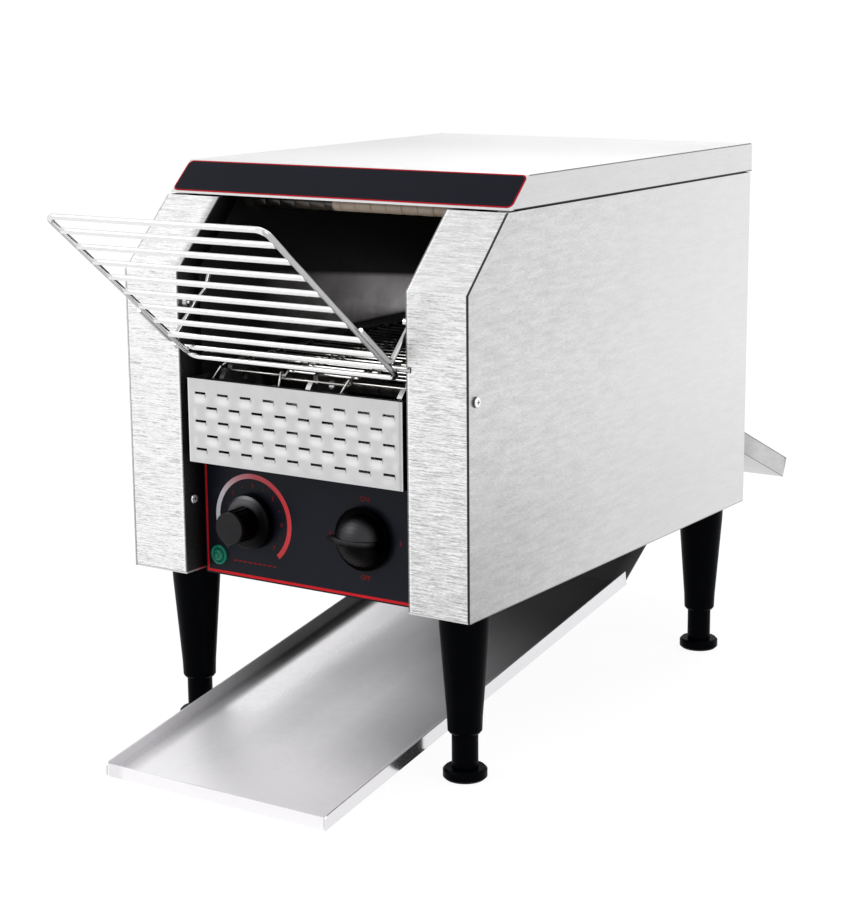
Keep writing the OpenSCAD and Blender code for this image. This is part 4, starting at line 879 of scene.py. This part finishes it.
def add_part(mesh_bm, part, index=None):
    """Adds a bmesh to another one and frees it."""
    mesh = bpy.data.meshes.new("part")
    part.to_mesh(mesh)
    part.free()
    add_mesh(mesh_bm, mesh, index)


def rounded(points, radius, steps=6):
    """Path with each inner corner rounded."""
    path = [Vector(points[0])]
    for before, corner, after in zip(points, points[1:], points[2:]):
        before, corner, after = Vector(before), Vector(corner), Vector(after)
        a, b = (before - corner).normalized(), (after - corner).normalized()
        half = a.angle(b) / 2
        cut = min(radius / math.tan(half), (before - corner).length * 0.48, (after - corner).length * 0.48)
        arc_r = cut * math.tan(half)
        centre = corner + (a + b).normalized() * arc_r / math.sin(half)
        start, end = corner + a * cut - centre, corner + b * cut - centre
        for i in range(steps + 1):
            path.append(centre + start.normalized().slerp(end.normalized(), i / steps) * start.length)
    path.append(Vector(points[-1]))
    return path


def text_mesh(body, height, place, finish_depth):
    """Mesh of centred text that faces the front, in the upright plane through place."""
    curve = bpy.data.curves.new("figure", "FONT")
    curve.body = body
    curve.size = height * 1.4
    curve.extrude = finish_depth / 2
    curve.align_x = "CENTER"
    curve.align_y = "CENTER"
    curve.resolution_u = 4
    mesh = meshed(curve)
    mesh.transform(Matrix.Translation(place) @ Matrix.Rotation(math.radians(90), 4, "X"))
    return mesh


def rounded_plate(mesh_bm, width, height, radius, thickness, border, place, indices=(0, 1)):
    """Closed flat plate with rounded corners, with a ring of another finish along its edge."""
    part = bmesh.new()
    corners = bmesh.ops.create_grid(part, x_segments=1, y_segments=1, size=0.5)["verts"]
    bmesh.ops.scale(part, vec=(width, height, 1.0), verts=corners)
    if radius > 0:
        bmesh.ops.bevel(part, geom=corners, offset=radius, offset_type="OFFSET", segments=8, profile=0.5,
                        affect="VERTICES", material=-1)
    for face in part.faces:
        face.material_index = indices[0]
    if border > 0:
        for face in bmesh.ops.inset_region(part, faces=part.faces[:], thickness=border, use_boundary=True,
                                           use_even_offset=True)["faces"]:
            face.material_index = indices[1]
    bmesh.ops.solidify(part, geom=part.faces[:], thickness=-thickness)
    bmesh.ops.recalc_face_normals(part, faces=part.faces[:])
    bmesh.ops.transform(part, matrix=place, verts=part.verts[:])
    add_part(mesh_bm, part)


def lathe(mesh_bm, profile, centre, axis, side, steps=48, index=0):
    """Turns a profile of (radius, height) pairs round an axis through centre."""
    part = bmesh.new()
    verts = [part.verts.new(side * r + axis * h) for r, h in profile]
    edges = [part.edges.new(pair) for pair in zip(verts, verts[1:])]
    bmesh.ops.spin(part, geom=verts + edges, cent=(0, 0, 0), axis=axis, angle=2 * math.pi, steps=steps,
                   use_merge=True)
    bmesh.ops.remove_doubles(part, verts=part.verts[:], dist=1e-7)
    bmesh.ops.recalc_face_normals(part, faces=part.faces[:])
    bmesh.ops.translate(part, vec=centre, verts=part.verts[:])
    add_part(mesh_bm, part, index)


# ---------------------------------------------------------------- stage


def seen_rays(tree):
    """1 for rays from the camera, in gloss and through glass, and 0 for the light that they gather."""
    path = tree.nodes.new("ShaderNodeLightPath")
    seen = maths(tree, "MAXIMUM", path.outputs["Is Camera Ray"], path.outputs["Is Glossy Ray"])
    return maths(tree, "MAXIMUM", seen, path.outputs["Is Transmission Ray"])


def mix_shaders(tree, sockets, sink):
    """Mixes two shaders, given after the share of the second one, and feeds the output."""
    mix = tree.nodes.new("ShaderNodeMixShader")
    for socket, place in zip(sockets, mix.inputs):
        tree.links.new(socket, place)
    tree.links.new(mix.outputs["Shader"], sink.inputs["Surface"])


def look_light():
    """World that is white to the camera, to gloss and to glass, and softer as light."""
    world = bpy.data.worlds.new("studio")
    bpy.context.scene.world = world
    world.use_nodes = True
    tree = world.node_tree
    tree.nodes.clear()
    soft, white = (add_node(tree, "ShaderNodeBackground", Color=(1.0, 1.0, 1.0, 1.0), Strength=strength)
                   for strength in (0.62, 1.0))
    mix_shaders(tree, (seen_rays(tree), soft.outputs["Background"], white.outputs["Background"]),
                tree.nodes.new("ShaderNodeOutputWorld"))


def floor_material(colour):
    """Pale floor that takes the object's shadow and is white where nothing shades it."""
    material, tree, shader = new_material("studio_floor", colour, 0.9, specular=0.0)
    glow = add_node(tree, "ShaderNodeEmission", Color=(1.0, 1.0, 1.0, 1.0), Strength=1.07)
    share = product(tree, seen_rays(tree), 0.86)
    sink = [n for n in tree.nodes if n.type == "OUTPUT_MATERIAL"][0]
    mix_shaders(tree, (share, shader.outputs["BSDF"], glow.outputs["Emission"]), sink)
    return material


def soft_lamp(name, place, target, width, height, power):
    """Area lamp that points at a target."""
    data = bpy.data.lights.new(name, "AREA")
    data.shape = "RECTANGLE"
    data.size, data.size_y, data.energy = width, height, power
    lamp = bpy.data.objects.new(name, data)
    lamp.location = place
    lamp.rotation_euler = (Vector(target) - Vector(place)).to_track_quat("-Z", "Y").to_euler()
    bpy.context.scene.collection.objects.link(lamp)


class TOASTER_OT_stage(Operator):
    """Floor, world, lamps and camera"""

    bl_idname = "toaster.stage"
    bl_label = "Stage"

    def execute(self, context):
        sizes, colours = context.scene.toaster_sizes, context.scene.toaster_colours
        part = bmesh.new()
        bmesh.ops.create_grid(part, x_segments=2, y_segments=2, size=30.0)
        mesh = bpy.data.meshes.new("studio_floor")
        part.to_mesh(mesh)
        part.free()
        mesh.materials.append(floor_material(colours.floor))
        floor = bpy.data.objects.new("studio_floor", mesh)
        floor.location = (0.0, 0.0, -0.0005)
        context.scene.collection.objects.link(floor)
        look_light()
        soft_lamp("key_lamp", (-2.4, -2.6, 2.8), (0, -0.05, 0.2), 2.4, 2.4, 62.0)
        soft_lamp("side_lamp", (3.2, -0.6, 1.9), (0, 0, 0.2), 2.2, 2.6, 26.0)
        soft_lamp("top_lamp", (-0.3, 2.6, 2.6), (0, 0, 0.3), 3.2, 2.2, 40.0)
        place = at(868.068, -1133.345, 526.072)
        azimuth, elevation, roll = 0.5911123, 0.2094493, -0.009371  # in radians
        back = Vector((math.sin(azimuth) * math.cos(elevation), -math.cos(azimuth) * math.cos(elevation),
                       math.sin(elevation)))
        right = Vector((0, 0, 1)).cross(back).normalized()
        up = back.cross(right)
        level = Matrix((math.cos(roll) * right + math.sin(roll) * up,
                        -math.sin(roll) * right + math.cos(roll) * up, back)).transposed().to_4x4()
        data = bpy.data.cameras.new("camera")
        data.lens, data.sensor_width = sizes.lens, 36.0
        data.clip_end = 100.0
        camera = bpy.data.objects.new("camera", data)
        camera.matrix_world = Matrix.Translation(place) @ level
        context.scene.collection.objects.link(camera)
        context.scene.camera = camera
        context.scene.view_settings.view_transform = "Standard"
        return {"FINISHED"}


class TOASTER_OT_finishes(Operator):
    """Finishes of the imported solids"""

    bl_idname = "toaster.finishes"
    bl_label = "Finishes"

    def execute(self, context):
        MATERIALS.update(build_materials(context.scene.toaster_colours))
        left = set(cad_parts)
        for finish, names in FINISH.items():
            for name in names:
                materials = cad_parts[name].data.materials
                if len(materials):
                    for i in range(len(materials)):
                        materials[i] = MATERIALS[finish]
                else:
                    materials.append(MATERIALS[finish])
                left.discard(name)
        if left:
            raise RuntimeError("no finish for " + ", ".join(sorted(left)))
        return {"FINISHED"}


# ---------------------------------------------------------------- labels and prints


class TOASTER_OT_fascia_label(Operator):
    """Long label with a red border on the cover's sloped front"""

    bl_idname = "toaster.fascia_label"
    bl_label = "Fascia label"

    def execute(self, context):
        sizes = context.scene.toaster_sizes
        low, high = at(0, 52.6, LID_Z), at(0, 75.9, COVER_Z)
        up = (high - low).normalized()
        right = Vector((1, 0, 0))
        out = right.cross(up)
        start, end, width, corner = 2.3 * MM, 31.3 * MM, 287.0 * MM, 4.4 * MM
        middle = low + up * (start + end) / 2 + out * 0.02 * MM - right * 0.3 * MM
        place = Matrix((right, up, out)).transposed().to_4x4()
        place.translation = middle
        part = bmesh.new()
        rounded_plate(part, width, end - start, corner, sizes.label_thickness, sizes.label_border, place)
        add_piece("fascia_label", part, ("fascia", "fascia_red"), "housing")
        return {"FINISHED"}


class TOASTER_OT_control_print(Operator):
    """Red border, dial band, figures and marks printed on the control panel"""

    bl_idname = "toaster.control_print"
    bl_label = "Control print"

    def execute(self, context):
        sizes = context.scene.toaster_sizes
        deep = 0.12 * MM
        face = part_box("control_panel")[0].y
        upright = Matrix.Rotation(math.radians(90), 4, "X")

        def plate(x0, z0, x1, z1, index, lift=0.0):
            middle = Vector(((x0 + x1) / 2 * MM, face - lift, (z0 + z1) / 2 * MM))
            rounded_plate(part, (x1 - x0) * MM, (z1 - z0) * MM, 0.0, deep, 0.0,
                          Matrix.Translation(middle) @ upright, (index, index))

        part = bmesh.new()
        plate(-94.4, 120.2, -92.8, 204.9, 0)
        plate(-94.4, 120.0, 94.4, 121.9, 0, 0.01 * MM)
        plate(92.8, 120.2, 94.4, 204.9, 0)
        centre, ring = knob_centre(), 25.2 * MM
        for i in range(sizes.dial_figures):
            turn = math.radians(225 - 270 * i / (sizes.dial_figures - 1))
            spot = centre + Vector((math.cos(turn), 0, math.sin(turn))) * ring
            spot.y -= deep / 2
            add_mesh(part, text_mesh(str(i + 1), sizes.figure_height, spot, deep), 1)
            if i:
                turn += math.radians(135 / (sizes.dial_figures - 1))
                spot = centre + Vector((math.cos(turn), -deep / 2 / ring, math.sin(turn))) * ring
                dot = [(r * 0.45 * MM, h * deep / 2) for r, h in ((0, -1), (1, -1), (1, 1), (0, 1))]
                lathe(part, dot, spot, Vector((0, 1, 0)), Vector((1, 0, 0)), 12, 1)
        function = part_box("function_knob")
        hub = Vector((FUNCTION_X * MM, face - deep / 2, (function[0].z + function[1].z) / 2))
        for word, x, z in (("ON", 0, 27.5), ("OFF", 0, -28.0), ("1", -29.5, 0), ("2", 29.5, 0)):
            add_mesh(part, text_mesh(word, 3.4 * MM, hub + Vector((x * MM, 0, z * MM)), deep), 1)
        for i in range(9):
            plate(-70 + 4.4 * i, 130.6, -67.2 + 4.4 * i, 131.6, 1)
        add_piece("panel_print", part, ("red", "figures"), "housing")
        band = bmesh.new()
        inner, outer = sizes.dial_radius - sizes.dial_band / 2, sizes.dial_radius + sizes.dial_band / 2
        start = math.radians(-48)
        direction = Vector((math.cos(start), 0, math.sin(start)))
        verts = [band.verts.new(centre + direction * r) for r in (inner, outer)]
        bmesh.ops.spin(band, geom=verts + [band.edges.new(verts)], cent=centre, axis=(0, -1, 0),
                       angle=math.radians(272), steps=96)
        bmesh.ops.recalc_face_normals(band, faces=band.faces[:])
        if band.faces[:][0].normal.y > 0:
            bmesh.ops.reverse_faces(band, faces=band.faces[:])
        bmesh.ops.solidify(band, geom=band.faces[:], thickness=-deep)
        add_piece("dial_band", band, ("band",), "housing")
        return {"FINISHED"}


# ---------------------------------------------------------------- infeed rack


def rack_frame():
    """Foot, tip, up and normal of the infeed rack's plane."""
    up = Vector((0, -math.cos(RACK_SLOPE), math.sin(RACK_SLOPE)))
    normal = Vector((0, math.sin(RACK_SLOPE), math.cos(RACK_SLOPE)))
    foot = at(0, 3.671, 280.293)
    return foot, foot + up * 177.7 * MM, up, normal


class TOASTER_OT_infeed_rack(Operator):
    """Wire rack that bread slides down, with its pivot wire and arms"""

    bl_idname = "toaster.infeed_rack"
    bl_label = "Infeed rack"

    def execute(self, context):
        radius = context.scene.toaster_sizes.rack_wire
        foot, tip, up, normal = rack_frame()
        half = 87.75 * MM
        side = Vector((half, 0, 0))
        part = bmesh.new()
        loop = rounded([foot, foot - side, tip - side, tip + side, foot + side, foot], 7 * MM, 8)
        add_mesh(part, curve_mesh([loop[:-1]], radius, 4, closed=True))
        rods, count = [], 8
        first, step, sunk = 16.5, 18.6, 0.3
        reach = Vector((half - 0.5 * MM, 0, 0))
        for i in range(count):
            middle = tip - up * (first + step * i) * MM - normal * sunk * MM
            rods.append([middle - reach, middle - reach * 0.5, middle + reach * 0.5, middle + reach])
        pivot = at(0, 0.5, 287.4)
        reach = Vector((99.4 * MM, 0, 0))
        rods.append([pivot - reach, pivot, pivot + reach])
        add_mesh(part, curve_mesh(rods, radius, 4))
        for sign in (-1, 1):
            arm = Vector((sign * 91.7 * MM, 0, 0))
            knee = foot + up * 20 * MM
            path = [foot + up * 62 * MM, knee, at(0, 12, 316), at(0, 24, 324.5), at(0, 29, 335.5)]
            add_mesh(part, curve_mesh([[p + arm for p in rounded(path, 5 * MM)]], radius, 4))
        add_piece("infeed_rack_wires", part, ("rack",), "rack",
                  ("infeed_rack", "rack_cross_wires", "rack_arms"), limit=50.0)
        return {"FINISHED"}


# ---------------------------------------------------------------- wire belt

BELT_PITCH = 11.9              # from one wire to the next, in millimetres
BELT_TEETH, BELT_RUN = 12, 22  # pitches round a whole sprocket and along a straight run
IDLER_Y, SHAFT_Z = 41.2, 248.0
DRIVE_Y = IDLER_Y + BELT_RUN * BELT_PITCH
BELT_R = BELT_PITCH / (2 * math.sin(math.pi / BELT_TEETH))


def belt_point(k):
    """Depth and height of belt wire k, in millimetres."""
    half_turn = BELT_TEETH // 2
    if k <= BELT_RUN:
        return IDLER_Y + k * BELT_PITCH, SHAFT_Z + BELT_R
    if k <= BELT_RUN + half_turn:
        a = math.radians(90 - (k - BELT_RUN) * 360 / BELT_TEETH)
        return DRIVE_Y + BELT_R * math.cos(a), SHAFT_Z + BELT_R * math.sin(a)
    if k <= 2 * BELT_RUN + half_turn:
        return DRIVE_Y - (k - BELT_RUN - half_turn) * BELT_PITCH, SHAFT_Z - BELT_R
    a = math.radians(270 - (k - 2 * BELT_RUN - half_turn) * 360 / BELT_TEETH)
    return IDLER_Y + BELT_R * math.cos(a), SHAFT_Z + BELT_R * math.sin(a)


def strand_path():
    """Points (across, along, out) of one wire of the belt: bays, and hooks round the next wire."""
    bay, edge, step, ring = 26.0, 86.0, 3.2, 2.1
    bend, lift, flat = BELT_PITCH * 0.55, 1.1, 18
    hook = [(BELT_PITCH + ring * math.cos(math.radians(a)), ring * math.sin(math.radians(a)))
            for a in range(90, -151, -30)]
    right = [(bay + step, s, n) for s, n in reversed(hook)]
    right += [(bay + step * 0.5, bend, lift), (bay, 0.0, 0.0), (bay + flat, 0.0, 0.0),
              (edge - flat, 0.0, 0.0), (edge, 0.0, 0.0), (edge - step * 0.5, bend, lift)]
    right += [(edge - step, s, n) for s, n in hook]
    return [(-x, s, n) for x, s, n in reversed(right)] + right


class TOASTER_OT_wire_belt(Operator):
    """Flat-flex wire belt: one bent wire after another, each hooked to the next"""

    bl_idname = "toaster.wire_belt"
    bl_label = "Wire belt"

    def execute(self, context):
        strands = []
        count = 2 * BELT_RUN + BELT_TEETH
        path = strand_path()
        for k in range(count):
            (y0, z0), (y1, z1) = belt_point(k), belt_point((k + 1) % count)
            turn = math.atan2(z1 - z0, y1 - y0)
            c, s = math.cos(turn), math.sin(turn)
            strands.append([at(x, y0 + a * c - n * s, z0 + a * s + n * c) for x, a, n in path])
        part = bmesh.new()
        add_mesh(part, curve_mesh(strands, context.scene.toaster_sizes.belt_wire, 1))
        add_piece("belt_wires", part, ("belt",), "housing", ("conveyor_belt",), limit=70.0)
        return {"FINISHED"}


# ---------------------------------------------------------------- heaters and screws


class TOASTER_OT_heaters(Operator):
    """Heater tubes in short beads, above and between the runs of the belt"""

    bl_idname = "toaster.heaters"
    bl_label = "Heaters"

    def execute(self, context):
        beads, rounding = 14, ((4.2, 0.01), (4.8, 0.4), (5.0, 1.0))
        for node, places, finish in (("upper_heaters", (84, 156, 228), "tube"),
                                     ("lower_heaters", (110, 172, 234), "dark_tube")):
            low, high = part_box(node)
            part = bmesh.new()
            for y in places:
                length = (high.x - low.x) / beads
                profile = [(0.0, low.x)]
                for i in range(beads):
                    a, b = low.x + i * length, low.x + (i + 1) * length
                    profile += [(r * MM, a + inset * MM) for r, inset in rounding]
                    profile += [(r * MM, b - inset * MM) for r, inset in reversed(rounding[1:])]
                r, inset = rounding[0]
                profile += [(r * MM, high.x - inset * MM), (0.0, high.x)]
                centre = at(0, y, 0)
                centre.z = (low.z + high.z) / 2
                lathe(part, profile, centre, Vector((1, 0, 0)), Vector((0, 0, 1)), 32)
            add_piece(node + "_tubes", part, (finish,), "housing", (node,), limit=40.0)
        return {"FINISHED"}


def main():
    """Makes every piece, in order."""
    register()
    for cls in OPERATORS:
        section, name = cls.bl_idname.split(".")
        getattr(getattr(bpy.ops, section), name)()


class TOASTER_PT_pieces(Panel):
    """Pieces of the conveyor toaster"""

    bl_label = "Toaster"
    bl_idname = "TOASTER_PT_pieces"
    bl_space_type = "VIEW_3D"
    bl_region_type = "UI"
    bl_category = "Toaster"

    def draw(self, context):
        for cls in OPERATORS:
            self.layout.operator(cls.bl_idname)
        for group in (context.scene.toaster_sizes, context.scene.toaster_colours):
            for key in group.bl_rna.properties.keys():
                if key not in ("rna_type", "name"):
                    self.layout.prop(group, key)


OPERATORS = (TOASTER_OT_stage, TOASTER_OT_finishes, TOASTER_OT_fascia_label, TOASTER_OT_control_print,
             TOASTER_OT_infeed_rack, TOASTER_OT_wire_belt, TOASTER_OT_heaters)
CLASSES = (ToasterSizes, ToasterColours, *OPERATORS, TOASTER_PT_pieces)


def register():
    """Registers the classes and their settings."""
    for cls in CLASSES:
        bpy.utils.register_class(cls)
    bpy.types.Scene.toaster_sizes = PointerProperty(type=ToasterSizes)
    bpy.types.Scene.toaster_colours = PointerProperty(type=ToasterColours)


def unregister():
    """Takes the classes and their settings away again."""
    del bpy.types.Scene.toaster_colours
    del bpy.types.Scene.toaster_sizes
    for cls in reversed(CLASSES):
        bpy.utils.unregister_class(cls)


if __name__ == "__main__":
    main()
